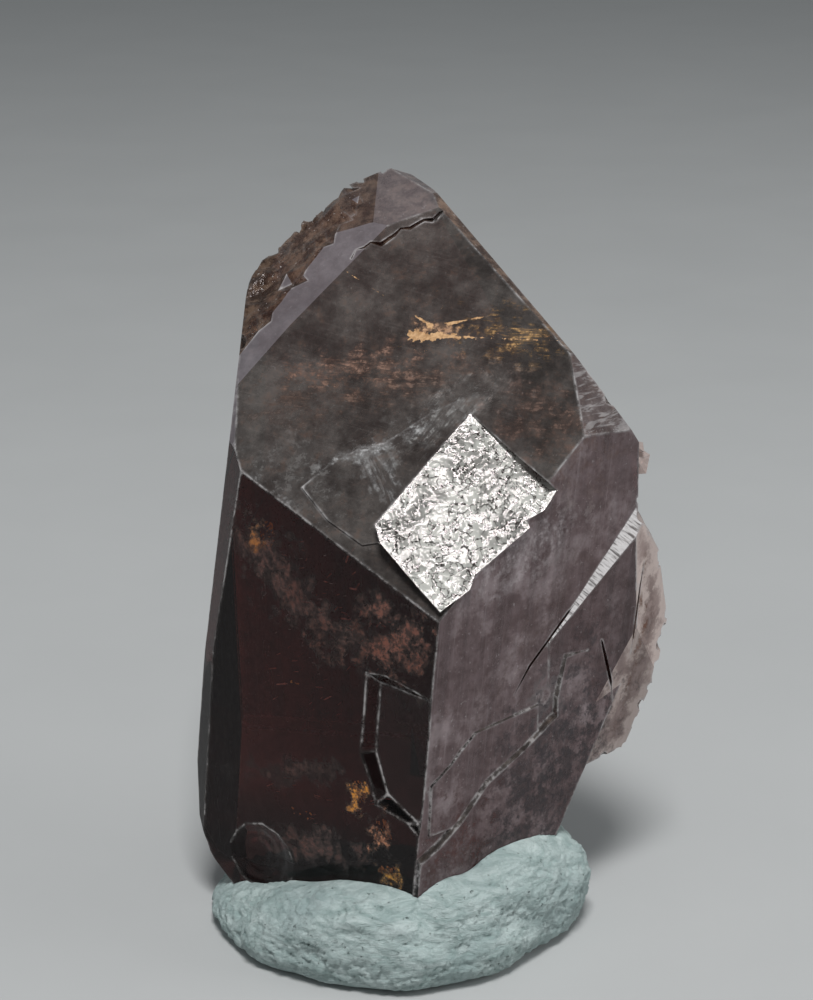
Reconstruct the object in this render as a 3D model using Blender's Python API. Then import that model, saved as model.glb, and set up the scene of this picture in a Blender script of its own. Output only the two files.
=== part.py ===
"""Axinite crystal standing in a lump of mineral tack.

The tables hold millimetres; the meshes are made in metres. X runs to the right
across the crystal's broad front, Y runs away from the viewer and Z is up. The flat
underside of the tack lies at Z = 0.

The crystal is a cell bounded by its flat faces. Each face is given by three of its
points. Growth layers, the parallel crystal at the right, the crinkled plateau, the
shallow window, chips and cracks are then fused to the cell or cut out of it.
"""

import math
import random

import bmesh
import bpy
from mathutils import Matrix, Vector

MM = 0.001

# Corners shared by several faces
KEEL_TOP = (1.49, -5.50, 18.62)
KEEL_FOOT = (0.33, -5.50, 4.61)
HEART = (0.0, 2.0, 17.0)
BLANK_HALF = (20.0, 20.0, 45.0)

# Faces of the main crystal, three points each
FACES = {
    "left_front": (KEEL_TOP, KEEL_FOOT, (-9.54, 2.00, 14.13)),
    "right_front": (KEEL_TOP, KEEL_FOOT, (10.89, 2.00, 21.11)),
    "roof": ((-7.80, 1.30, 23.04), (-0.56, -4.02, 19.19), (7.80, 2.50, 28.43)),
    "left_edge_upper": ((-7.81, 1.29, 22.80), (-9.39, 1.87, 13.65), (-9.87, 2.70, 13.30)),
    "left_edge_lower": ((-9.39, 1.87, 13.65), (-10.03, 1.85, 5.57), (-10.54, 2.70, 6.25)),
    "left_side": ((-8.60, 2.50, 22.40), (-9.87, 2.70, 13.30), (-8.23, 7.00, 26.57)),
    "left_side_low": ((-9.87, 2.70, 13.30), (-10.54, 2.70, 6.25), (-10.40, 5.00, 6.25)),
    "left_back": ((-8.00, 9.60, 28.00), (-9.60, 4.60, 12.00), (-6.60, 8.20, 10.00)),
    "left_foot": ((-10.56, 2.60, 5.18), (-9.53, 2.00, 2.58), (-8.60, 5.00, 2.60)),
    "left_toe": ((-9.53, 2.00, 2.58), (-8.15, 1.20, 1.21), (-8.60, 5.00, 2.20)),
    "roof_edge_top": ((-2.74, 8.12, 31.73), (-5.70, 6.05, 28.72), (-6.56, 6.99, 29.22)),
    "roof_edge_mid": ((-5.70, 6.05, 28.72), (-8.05, 4.63, 26.57), (-7.26, 6.16, 28.14)),
    "roof_edge_low": ((-8.05, 4.63, 26.57), (-8.10, 1.63, 23.32), (-8.45, 3.58, 24.79)),
    "broken_flank": ((-3.59, 8.74, 31.90), (-7.12, 6.32, 28.35), (-3.60, 12.30, 34.30)),
    "cap_right": ((1.97, 9.15, 34.08), (-0.90, 8.93, 33.09), (-0.32, 12.20, 35.24)),
    "cap_left": ((-1.59, 9.43, 33.19), (-1.42, 11.93, 34.75), (-3.30, 12.30, 34.22)),
    "tip": ((-0.75, 12.42, 35.24), (0.62, 12.35, 34.85), (0.60, 11.20, 34.75)),
    "roof_rim": ((1.49, 9.21, 34.02), (7.48, 2.63, 28.49), (4.65, 6.45, 31.37)),
    "right_shoulder_back": ((1.98, 9.60, 33.99), (7.33, 3.30, 28.74), (4.10, 9.60, 31.00)),
    "shoulder": ((7.61, 2.54, 28.42), (8.95, 0.14, 25.16), (10.00, 2.40, 26.28)),
    "right_edge": ((10.76, 2.00, 24.78), (10.97, 2.20, 20.84), (9.30, 5.30, 20.84)),
    "right_shoulder_edge": ((9.34, 2.60, 27.05), (10.76, 2.00, 24.78), (8.60, 6.00, 24.78)),
    "right_foot": ((8.67, 1.10, 7.70), (7.55, 0.36, 5.13), (7.40, 6.00, 6.20)),
    "back": ((0.00, 12.40, 35.20), (-8.00, 9.20, 12.00), (8.00, 8.80, 12.00)),
    "back_foot": ((0.0, 7.60, 6.00), (6.0, 7.40, 6.00), (0.0, 6.20, 2.60)),
    "underside": ((-8.0, 0.20, 1.20), (0.33, -5.50, 3.00), (7.50, 0.40, 3.50)),
}

# Parallel crystal grown on the right of the main one
PARALLEL_FACES = {
    "front": ((11.00, 1.55, 18.70), (6.75, -1.00, 14.95), (9.55, 1.45, 8.90)),
    "riser": ((10.95, 2.06, 20.94), (7.66, -0.33, 16.58), (8.97, 2.10, 21.00)),
    "fringe_upper": ((11.45, 2.05, 19.80), (11.05, 1.90, 14.60), (12.35, 3.30, 17.00)),
    "fringe_lower": ((11.10, 2.00, 14.60), (10.90, 2.10, 13.20), (12.40, 3.40, 13.20)),
    "edge_top": ((11.15, 3.00, 20.30), (12.20, 3.30, 18.40), (11.15, 5.50, 20.00)),
    "edge_upper": ((12.05, 3.30, 18.90), (12.95, 3.30, 14.60), (11.90, 5.80, 18.30)),
    "edge_lower": ((13.15, 3.30, 14.40), (12.35, 3.20, 10.80), (12.25, 5.80, 14.00)),
    "edge_foot": ((12.20, 3.20, 10.80), (11.00, 2.80, 8.00), (11.20, 5.40, 10.40)),
    "toe": ((11.00, 2.80, 8.00), (8.60, 2.20, 7.60), (9.60, 5.40, 7.40)),
    "lid": ((11.00, 2.00, 21.40), (6.00, 2.00, 23.00), (8.00, 8.00, 22.00)),
    "inner": ((6.60, -0.50, 15.00), (6.80, -0.50, 9.00), (5.60, 5.00, 12.00)),
    "back": ((11.20, 5.20, 16.00), (8.00, 7.20, 20.00), (8.00, 6.80, 9.00)),
}
PARALLEL_HEART = (9.0, 3.0, 13.5)

# Crinkled plateau between roof and right front: outline on its own plane
PLATEAU_PLANE = (KEEL_TOP, (6.87, -1.41, 22.97), (2.95, 1.27, 25.83))
PLATEAU_OUTLINE = (
    (2.95, 25.83), (5.05, 24.25), (6.87, 22.97), (6.29, 22.24), (5.46, 21.88), (5.59, 21.59),
    (4.67, 20.98), (3.07, 19.92), (2.84, 19.39), (1.49, 18.62), (0.38, 19.60), (-1.20, 21.06),
    (-1.43, 21.70), (0.80, 23.80),
)
INWARD = (0.0, 0.945, -0.326)
HOLE_ABOVE = 5.0
HOLE_DEPTH = 2.5
PLUG_DEPTH = 3.5
HOLE_SHRINK = 0.9933

# Growth layers: face that grows, height, sideways lean of the risers, outline in X and Z
RISER_LEAN = (0.55, -0.30, -0.55)
LAYERS = (
    ("right_front", 0.22, (
        (7.00, 12.40), (7.01, 11.46), (6.56, 11.14), (5.43, 10.29), (3.64, 9.20), (2.37, 7.59),
        (1.40, 6.75), (0.30, 6.10), (-2.00, 5.60), (-2.00, 1.00), (12.0, 1.00), (12.0, 14.50),
        (7.40, 14.50),
    )),
    ("right_front", 0.07, (
        (3.20, 11.90), (2.45, 11.20), (2.05, 10.70), (1.10, 9.90), (1.00, 7.30), (6.20, 7.30),
        (6.20, 12.20),
    )),
    ("roof", 0.09, (
        (-4.85, 22.55), (-3.56, 23.49), (-2.16, 24.17), (-1.00, 24.45), (1.14, 25.69), (2.30, 26.20),
        (3.60, 24.90), (0.20, 21.00), (-2.00, 20.60), (-3.60, 21.40),
    )),
    ("back", 0.14, (
        (-12.0, 16.00), (-5.20, 18.20), (-3.10, 21.60), (0.80, 23.40), (4.60, 21.80), (12.0, 23.00),
        (12.0, 1.00), (-12.0, 1.00),
    )),
)
LAYER_SINK = 0.03
LAYER_REACH_OUT = 2.0
LAYER_REACH_IN = 0.6

# Shallow six-sided window in the left front, with sloping sides
WINDOW_RIM = (
    (-1.85, 14.75), (-2.15, 10.70), (-1.45, 8.35), (0.62, 7.35), (1.05, 10.0), (1.18, 14.60),
    (-0.57, 14.75),
)
WINDOW_FLOOR = (
    (-1.40, 14.30), (-1.66, 10.85), (-1.05, 8.90), (0.55, 8.00), (0.95, 10.0), (1.05, 14.20),
    (-0.60, 14.30),
)
WINDOW_DEEP_SIDE = 0.42
WINDOW_OVERSHOOT = 2.5

# Bites out of the crystal: centre, radii of the lump taken out, turn about Z in degrees
BITES = (
    ((-7.86, -1.39, 3.80), (3.50, 1.60, 3.10), -35),
    ((-8.55, 1.90, 24.00), (0.50, 0.90, 0.85), 20),
    ((-8.30, 6.90, 27.60), (0.75, 0.90, 0.55), 10),
    ((11.65, 2.20, 20.60), (0.62, 1.00, 0.50), -30),
    ((13.05, 3.60, 13.10), (0.55, 1.20, 0.45), 15),
)

# Angular knobs at the right edge: centre and size
KNOBS = (((10.65, 3.00, 23.70), 0.52), ((10.72, 3.10, 22.90), 0.60), ((10.62, 2.90, 22.20), 0.46))

BITE_ROUND = 20
BITE_RINGS = 12

# Broken flank at the upper left: jagged surface in place of the flat face
BREAK_PLANE = ((-3.64, 8.70, 31.98), (-7.17, 6.28, 28.43), (-5.00, 12.06, 32.60))
BREAK_CENTRE = (-6.00, 30.20)
BREAK_REACH = 6.5
BREAK_STEPS = 15
BREAK_ROUGH = 0.24
BREAK_SHAKE = 0.35
BREAK_CLEAR = 4.0

# Cracks: points on the surface and their width and depth
CRACKS = (
    (((8.10, -0.07, 17.07), (7.66, -0.39, 16.58), (6.65, -1.13, 15.37), (5.78, -1.77, 14.37),
      (5.03, -2.30, 13.12)), 0.16, 0.30),
    (((11.50, 2.00, 18.90), (11.25, 1.90, 17.00), (11.00, 1.90, 14.30),
      (10.85, 1.95, 12.90)), 0.14, 0.28),
    (((9.35, 0.95, 14.60), (9.60, 1.15, 13.60), (9.95, 1.55, 12.10),
      (10.05, 1.75, 11.00)), 0.14, 0.28),
)
CRACK_LIFT = 1.2
CRACK_FLARE = 4.0
CRACK_TIP = 0.25

# Jagged break along the roof's top border: start, end, how many zigzags, width and depth
TOP_BREAK = ((1.95, 8.95, 33.88), (-2.75, 8.12, 31.73))
TOP_BREAK_TEETH = 13
TOP_BREAK_SIZE = (0.34, 0.16)
TOP_BREAK_SWING = 0.22

# Small breaks along ragged edges: start, end, how many, size
RAGGED = (
    ((-6.90, 11.95, 30.75), (-3.60, 12.30, 34.00), 7, 0.30),
    ((-3.60, 12.30, 34.05), (-0.80, 12.42, 35.36), 5, 0.18),
    ((8.20, 2.75, 28.00), (10.58, 1.65, 25.00), 9, 0.22),
    ((10.50, 2.90, 24.60), (11.08, 2.25, 21.20), 6, 0.24),
    ((11.50, 1.95, 20.20), (12.50, 3.20, 18.40), 7, 0.32),
    ((12.50, 3.20, 18.40), (13.12, 4.20, 14.40), 11, 0.30),
    ((13.12, 4.20, 14.40), (12.60, 3.80, 11.55), 8, 0.32),
    ((12.60, 3.80, 11.55), (11.00, 3.15, 7.85), 10, 0.32),
    ((10.90, 3.10, 7.75), (8.80, 1.60, 7.55), 6, 0.30),
)
RAGGED_SEED = 11
PIECE_SIZE = (0.5, 1.8)
PIECE_SPREAD = 0.6
LUMP_RADIUS = (0.7, 1.3)
LUMP_SHAKE = (0.75, 1.25)
LUMP_STRETCH = (0.7, 1.6)
LUMP_AXIS = (0.5, 0.3, 0.8)

# Mineral tack: plan ellipse, height and tilt of its top, and the kneading
TACK_CENTRE = (-0.60, 0.85)
TACK_RADII = (9.15, 8.05)
TACK_TOP_HEIGHT = 3.75
TACK_RISE_X = 0.20
TACK_RISE_Y = -0.17
TACK_ROUND = 96
TACK_PROFILE = (
    (0.88, 0.00), (0.945, 0.04), (0.98, 0.14), (1.00, 0.27), (1.005, 0.41), (0.99, 0.55),
    (0.965, 0.68), (0.93, 0.79), (0.88, 0.88), (0.82, 0.95), (0.74, 1.00), (0.64, 1.03),
    (0.52, 1.03), (0.38, 1.00), (0.22, 0.97),
)
TACK_HUB_LEVEL = 0.95
TACK_FLAT_LEVEL = 0.1

# Waves round the lump: how many, swing with height, size, phase
TACK_WAVES = (
    (3, 0.4, 0.022, 0.4), (5, 0.7, 0.015, 1.9), (9, -0.9, 0.010, 4.1), (14, 1.3, 0.006, 2.2),
)
TACK_DENTS = 90
TACK_DENT_SIZE = (0.7, 2.2)
TACK_DENT_DEPTH = 0.17
TACK_DENT_SHARES = (-1.0, -0.6, 0.8)
TACK_DENT_LOWEST_RING = 3
TACK_SEED = 5
SOCKET_GAP = 0.30
SOCKET_GAP_LAYERED = 0.55


def clear_scene():
    for obj in list(bpy.data.objects):
        bpy.data.objects.remove(obj, do_unlink=True)


def mesh_object(name, bm):
    """Object made from the bmesh, scaled from millimetres to metres."""
    bmesh.ops.scale(bm, vec=Vector((MM, MM, MM)), verts=bm.verts)
    bmesh.ops.recalc_face_normals(bm, faces=bm.faces)
    mesh = bpy.data.meshes.new(name)
    bm.to_mesh(mesh)
    bm.free()
    obj = bpy.data.objects.new(name, mesh)
    bpy.context.scene.collection.objects.link(obj)
    return obj


def plane_of(points, heart):
    """Point and outward normal of the plane through three points."""
    p, q, r = (Vector(point) for point in points)
    normal = (q - p).cross(r - p).normalized()
    if normal.dot(Vector(heart) - p) > 0:
        normal.negate()
    return p, normal


def depth_on(plane, x, z):
    """The point of a plane above this X and Z."""
    point, normal = plane
    y = point.y - (normal.x * (x - point.x) + normal.z * (z - point.z)) / normal.y
    return Vector((x, y, z))


def cleave(bm, point, normal):
    """Cuts off what lies beyond the plane and closes the cut."""
    cut = bmesh.ops.bisect_plane(
        bm,
        geom=list(bm.verts) + list(bm.edges) + list(bm.faces),
        dist=1e-5,
        plane_co=point,
        plane_no=normal,
        clear_outer=True,
    )
    rim = [item for item in cut["geom_cut"] if isinstance(item, bmesh.types.BMEdge)]
    if rim:
        bmesh.ops.edgeloop_fill(bm, edges=rim)


def crystal_cell(name, faces, heart, growth=None, rest=0.0):
    """Closed cell bounded by the faces, each moved out by its own growth or by rest."""
    bm = bmesh.new()
    bmesh.ops.create_cube(bm, size=2.0)
    bmesh.ops.scale(bm, vec=Vector(BLANK_HALF), verts=bm.verts)
    for face, points in faces.items():
        point, normal = plane_of(points, heart)
        shift = (growth or {}).get(face, rest)
        cleave(bm, point + normal * shift, normal)
    return mesh_object(name, bm)


def loft(name, lower, upper):
    """Closed block between two outlines with the same number of points."""
    bm = bmesh.new()
    low = [bm.verts.new(point) for point in lower]
    high = [bm.verts.new(point) for point in upper]
    bm.faces.new(low)
    bm.faces.new(high)
    for i in range(len(low)):
        j = (i + 1) % len(low)
        bm.faces.new((low[i], low[j], high[j], high[i]))
    bmesh.ops.triangulate(bm, faces=[face for face in bm.faces if len(face.verts) == 4])
    return mesh_object(name, bm)


def combine(base, tool, operation):
    """Fuses the tool to the base, cuts it out or keeps what they share, and drops the tool."""
    modifier = base.modifiers.new(operation.lower(), "BOOLEAN")
    modifier.operation = operation
    modifier.solver = "EXACT"
    modifier.object = tool
    graph = bpy.context.evaluated_depsgraph_get()
    made = bpy.data.meshes.new_from_object(base.evaluated_get(graph))
    base.modifiers.clear()
    base.data = made
    bpy.data.objects.remove(tool, do_unlink=True)


def add_plateau(crystal):
    """The crinkled plateau replaces whatever lay inside its outline."""
    plane = plane_of(PLATEAU_PLANE, HEART)
    rim = [depth_on(plane, x, z) for x, z in PLATEAU_OUTLINE]
    middle = sum(rim, Vector()) / len(rim)
    inward = Vector(INWARD)
    hole = [middle + (point - middle) * HOLE_SHRINK for point in rim]
    near = [point - inward * HOLE_ABOVE for point in hole]
    far = [point + inward * HOLE_DEPTH for point in hole]
    combine(crystal, loft("plateau_hole", near, far), "DIFFERENCE")
    deep = [point + inward * PLUG_DEPTH for point in rim]
    combine(crystal, loft("plateau_plug", rim, deep), "UNION")


def add_layer(crystal, face, height, outline):
    """A growth layer: the cell grown by its height on one face, kept inside the outline."""
    layer = crystal_cell("layer", FACES, HEART, {face: height}, -LAYER_SINK)
    point, normal = plane_of(FACES[face], HEART)
    lean = Vector(RISER_LEAN) if face == "right_front" else normal
    rim = [depth_on((point, normal), x, z) for x, z in outline]
    outer = [corner + lean * LAYER_REACH_OUT for corner in rim]
    inner = [corner - lean * LAYER_REACH_IN for corner in rim]
    combine(layer, loft("layer_outline", outer, inner), "INTERSECT")
    combine(crystal, layer, "UNION")


def cut_window(crystal):
    """A shallow window with sloping sides, deepest at its left."""
    point, normal = plane_of(FACES["left_front"], HEART)
    keel_x = KEEL_TOP[0]
    span = keel_x - min(x for x, z in WINDOW_FLOOR)

    def floor_point(x, z):
        share = (keel_x - x) / span
        return depth_on((point, normal), x, z) - normal * WINDOW_DEEP_SIDE * share

    floor = [floor_point(x, z) for x, z in WINDOW_FLOOR]
    rim = [depth_on((point, normal), x, z) for x, z in WINDOW_RIM]
    outer = [low + (high - low) * WINDOW_OVERSHOOT for low, high in zip(floor, rim)]
    combine(crystal, loft("window", floor, outer), "DIFFERENCE")


def rounded_lump(centre, radii, turn):
    bm = bmesh.new()
    bmesh.ops.create_uvsphere(bm, u_segments=BITE_ROUND, v_segments=BITE_RINGS, radius=1.0)
    bmesh.ops.scale(bm, vec=Vector(radii), verts=bm.verts)
    bmesh.ops.rotate(bm, cent=Vector(), matrix=rotation(turn, (0.0, 0.0, 1.0)), verts=bm.verts)
    bmesh.ops.translate(bm, vec=Vector(centre), verts=bm.verts)
    return mesh_object("rounded_lump", bm)


def rotation(degrees, axis):
    return Matrix.Rotation(math.radians(degrees), 3, Vector(axis).normalized())


def crack(crystal, path, width, depth):
    """A narrow wedge-shaped crack along a path on the surface."""
    points = [Vector(point) for point in path]
    outward = -Vector(INWARD).normalized()
    bm = bmesh.new()
    sections = []
    for i, point in enumerate(points):
        along = (points[min(i + 1, len(points) - 1)] - points[max(i - 1, 0)]).normalized()
        side = along.cross(outward).normalized()
        taper = CRACK_TIP if i in (0, len(points) - 1) else 1.0
        mouth = side * (width / 2 * taper * CRACK_FLARE)
        above = point + outward * CRACK_LIFT
        corners = (above + mouth, above - mouth, point - outward * depth * taper)
        sections.append([bm.verts.new(corner) for corner in corners])
    bm.faces.new(sections[0])
    bm.faces.new(sections[-1])
    for one, two in zip(sections, sections[1:]):
        for i in range(3):
            j = (i + 1) % 3
            bm.faces.new((one[i], one[j], two[j], two[i]))
    bmesh.ops.triangulate(bm, faces=[face for face in bm.faces if len(face.verts) == 4])
    combine(crystal, mesh_object("crack", bm), "DIFFERENCE")


def top_break_path():
    """Points of the zigzag along the roof's top border."""
    dice = random.Random(RAGGED_SEED)
    start, end = (Vector(point) for point in TOP_BREAK)
    across = (end - start).cross(Vector(INWARD)).normalized()
    return [
        start.lerp(end, i / TOP_BREAK_TEETH) + across * dice.uniform(-TOP_BREAK_SWING, TOP_BREAK_SWING)
        for i in range(TOP_BREAK_TEETH + 1)
    ]


def broken_piece(place, size, dice):
    """An angular little lump, unlike any other."""
    bm = bmesh.new()
    bmesh.ops.create_icosphere(bm, subdivisions=1, radius=size * dice.uniform(*LUMP_RADIUS))
    for vert in bm.verts:
        vert.co *= dice.uniform(*LUMP_SHAKE)
    stretch = Vector([dice.uniform(*LUMP_STRETCH) for _ in range(3)])
    bmesh.ops.scale(bm, vec=stretch, verts=bm.verts)
    turn = rotation(360 * dice.random(), LUMP_AXIS)
    bmesh.ops.rotate(bm, cent=Vector(), matrix=turn, verts=bm.verts)
    bmesh.ops.translate(bm, vec=place, verts=bm.verts)
    return mesh_object("broken_piece", bm)


def break_flank(crystal):
    """Breaks the upper left flank away along a jagged surface."""
    dice = random.Random(RAGGED_SEED)
    plane = plane_of(BREAK_PLANE, HEART)
    normal = plane[1]
    centre = depth_on(plane, *BREAK_CENTRE)
    along = normal.orthogonal().normalized()
    across = normal.cross(along)
    step = 2.0 * BREAK_REACH / BREAK_STEPS
    bm = bmesh.new()
    grid = []
    for i in range(BREAK_STEPS + 1):
        row = []
        for j in range(BREAK_STEPS + 1):
            u = (i + dice.uniform(-BREAK_SHAKE, BREAK_SHAKE)) * step - BREAK_REACH
            v = (j + dice.uniform(-BREAK_SHAKE, BREAK_SHAKE)) * step - BREAK_REACH
            depth = dice.uniform(-BREAK_ROUGH, BREAK_ROUGH)
            row.append(bm.verts.new(centre + along * u + across * v - normal * depth))
        grid.append(row)
    for low, high in zip(grid, grid[1:]):
        for j in range(BREAK_STEPS):
            bm.faces.new((low[j], low[j + 1], high[j + 1], high[j]))
    right = [row[-1] for row in grid[1:]]
    left = [row[0] for row in grid[-2:0:-1]]
    rim = grid[0] + right + grid[-1][-2::-1] + left
    lid = [bm.verts.new(vert.co + normal * BREAK_CLEAR) for vert in rim]
    for i in range(len(rim)):
        j = (i + 1) % len(rim)
        bm.faces.new((rim[i], rim[j], lid[j], lid[i]))
    bm.faces.new(lid)
    bmesh.ops.triangulate(bm, faces=bm.faces)
    combine(crystal, mesh_object("broken_away", bm), "DIFFERENCE")


def break_edges(crystal):
    """Takes angular little pieces off the ragged edges, some barely and some deeply."""
    dice = random.Random(RAGGED_SEED)
    for start, end, count, size in RAGGED:
        for _ in range(count):
            place = Vector(start).lerp(Vector(end), dice.random())
            piece_size = size * (PIECE_SIZE[0] + (PIECE_SIZE[1] - PIECE_SIZE[0]) * dice.random() ** 2)
            sideways = Vector([dice.uniform(-PIECE_SPREAD, PIECE_SPREAD) for _ in range(3)])
            piece = broken_piece(place + sideways * piece_size, piece_size, dice)
            combine(crystal, piece, "DIFFERENCE")


def make_crystal():
    crystal = crystal_cell("crystal", FACES, HEART)
    for face, height, outline in LAYERS:
        add_layer(crystal, face, height, outline)
    add_plateau(crystal)
    combine(crystal, crystal_cell("parallel", PARALLEL_FACES, PARALLEL_HEART), "UNION")
    cut_window(crystal)
    dice = random.Random(RAGGED_SEED)
    for centre, size in KNOBS:
        combine(crystal, broken_piece(Vector(centre), size, dice), "UNION")
    for centre, radii, turn in BITES:
        combine(crystal, rounded_lump(centre, radii, turn), "DIFFERENCE")
    for path, width, depth in CRACKS:
        crack(crystal, path, width, depth)
    crack(crystal, top_break_path(), *TOP_BREAK_SIZE)
    break_flank(crystal)
    break_edges(crystal)
    return crystal


def tack_top(x, y):
    return TACK_TOP_HEIGHT + TACK_RISE_X * x + TACK_RISE_Y * y


def tack_point(share, level, angle):
    """A point of the lump at a share of its radius and of its height."""
    wave = 0.0
    for turns, swing, size, phase in TACK_WAVES:
        wave += size * math.sin(turns * angle + swing * level * math.pi + phase)
    reach = share * (1.0 + wave)
    x = TACK_CENTRE[0] + TACK_RADII[0] * reach * math.cos(angle)
    y = TACK_CENTRE[1] + TACK_RADII[1] * reach * math.sin(angle)
    return Vector((x, y, tack_top(x, y) * level * (1.0 + wave)))


def tack_dents():
    """Places pressed in or pulled out by kneading: centre, size and depth."""
    dice = random.Random(TACK_SEED)
    dents = []
    for _ in range(TACK_DENTS):
        angle = 2 * math.pi * dice.random()
        share, level = dice.choice(TACK_PROFILE[TACK_DENT_LOWEST_RING:-1])
        size = TACK_DENT_SIZE[0] + (TACK_DENT_SIZE[1] - TACK_DENT_SIZE[0]) * dice.random() ** 2
        depth = TACK_DENT_DEPTH * dice.choice(TACK_DENT_SHARES)
        dents.append((tack_point(share, level, angle), size, depth))
    return dents


def knead(point, dents):
    """Moves a point of the lump in or out by the dents that reach it."""
    middle = Vector((TACK_CENTRE[0], TACK_CENTRE[1], 0.5 * TACK_TOP_HEIGHT))
    outward = (point - middle).normalized()
    moved = point.copy()
    for centre, size, depth in dents:
        away = (point - centre).length / size
        if away < 1.0:
            moved += outward * depth * (1.0 - away * away)
    return moved


def make_tack():
    bm = bmesh.new()
    dents = tack_dents()
    rings = []
    for share, level in TACK_PROFILE:
        ring = []
        for i in range(TACK_ROUND):
            point = tack_point(share, level, 2 * math.pi * i / TACK_ROUND)
            ring.append(bm.verts.new(knead(point, dents) if level > TACK_FLAT_LEVEL else point))
        rings.append(ring)
    for low, high in zip(rings, rings[1:]):
        for i in range(TACK_ROUND):
            j = (i + 1) % TACK_ROUND
            bm.faces.new((low[i], low[j], high[j], high[i]))
    bm.faces.new(rings[0])
    hub = bm.verts.new((*TACK_CENTRE, tack_top(*TACK_CENTRE) * TACK_HUB_LEVEL))
    for i in range(TACK_ROUND):
        bm.faces.new((rings[-1][i], rings[-1][(i + 1) % TACK_ROUND], hub))
    tack = mesh_object("mineral_tack", bm)
    socket = crystal_cell("socket", FACES, HEART, {"right_front": SOCKET_GAP_LAYERED}, SOCKET_GAP)
    combine(tack, socket, "DIFFERENCE")
    return tack


def give_material(obj, name, colour, roughness, transmission, ior):
    material = bpy.data.materials.new(name)
    material.use_nodes = True
    shader = material.node_tree.nodes["Principled BSDF"]
    shader.inputs["Base Color"].default_value = (*colour, 1.0)
    shader.inputs["Roughness"].default_value = roughness
    shader.inputs["Transmission Weight"].default_value = transmission
    shader.inputs["IOR"].default_value = ior
    obj.data.materials.clear()
    obj.data.materials.append(material)


def centre_on_table(nodes):
    """Moves the nodes together so that Z = 0 lies under the middle of their box."""
    corners = [vert.co for node in nodes for vert in node.data.vertices]
    shift_x = -(min(co.x for co in corners) + max(co.x for co in corners)) / 2
    shift_y = -(min(co.y for co in corners) + max(co.y for co in corners)) / 2
    for node in nodes:
        node.data.transform(Matrix.Translation((shift_x, shift_y, 0.0)))


def main():
    clear_scene()
    crystal = make_crystal()
    tack = make_tack()
    centre_on_table((crystal, tack))
    give_material(crystal, "axinite", (0.16, 0.09, 0.08), 0.12, 0.7, 1.68)
    give_material(tack, "tack_putty", (0.42, 0.52, 0.50), 0.75, 0.0, 1.45)


main()
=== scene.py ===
"""Axinite crystal standing in a kneaded lump of mineral tack, as seen from its broad front.

The crystal's faces are cut into fine triangles that keep the face borders. Geometry Nodes then raise
the striations, the crinkled plateau, the ripples and the broken places. Veils, wisps and flecks are
grown inside the clear crystal. The tack is remeshed, kneaded and pressed against the crystal's foot.
Tables hold millimetres in the part's own frame.
"""

import math

import bmesh
import bpy
import numpy as np
from mathutils import Matrix, Vector
from mathutils.bvhtree import BVHTree
from mathutils.geometry import delaunay_2d_cdt, tessellate_polygon
from mathutils.kdtree import KDTree


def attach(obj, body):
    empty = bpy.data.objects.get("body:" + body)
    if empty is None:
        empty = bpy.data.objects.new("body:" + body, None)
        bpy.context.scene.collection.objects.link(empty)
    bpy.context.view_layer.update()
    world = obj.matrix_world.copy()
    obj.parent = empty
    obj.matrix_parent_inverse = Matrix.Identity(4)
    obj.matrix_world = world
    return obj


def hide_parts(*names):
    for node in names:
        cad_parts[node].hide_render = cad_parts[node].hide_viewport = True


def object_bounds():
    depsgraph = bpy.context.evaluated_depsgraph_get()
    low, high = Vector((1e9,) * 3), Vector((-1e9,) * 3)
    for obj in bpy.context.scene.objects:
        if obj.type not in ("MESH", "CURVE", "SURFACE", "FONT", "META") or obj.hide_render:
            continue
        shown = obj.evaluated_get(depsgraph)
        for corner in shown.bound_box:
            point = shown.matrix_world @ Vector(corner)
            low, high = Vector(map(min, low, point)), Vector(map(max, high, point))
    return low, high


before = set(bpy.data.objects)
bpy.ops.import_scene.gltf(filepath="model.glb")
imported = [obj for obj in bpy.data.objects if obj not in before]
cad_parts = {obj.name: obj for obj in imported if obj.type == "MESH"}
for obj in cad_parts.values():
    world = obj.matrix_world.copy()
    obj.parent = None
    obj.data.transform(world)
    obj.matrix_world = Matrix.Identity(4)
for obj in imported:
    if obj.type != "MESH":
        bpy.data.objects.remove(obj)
cad_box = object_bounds()

MM = 0.001
TO_MM = (1000.0, 1000.0, 1000.0)

# Camera: the point it looks at, its distance and how far it looks down
LOOK_AT = (-1.227, -2.433, 22.0)
CAMERA_DISTANCE = 98.0
LOOK_DOWN_DEGREES = 19.0
LENS = 50.66
SENSOR_HEIGHT = 24.0

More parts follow.
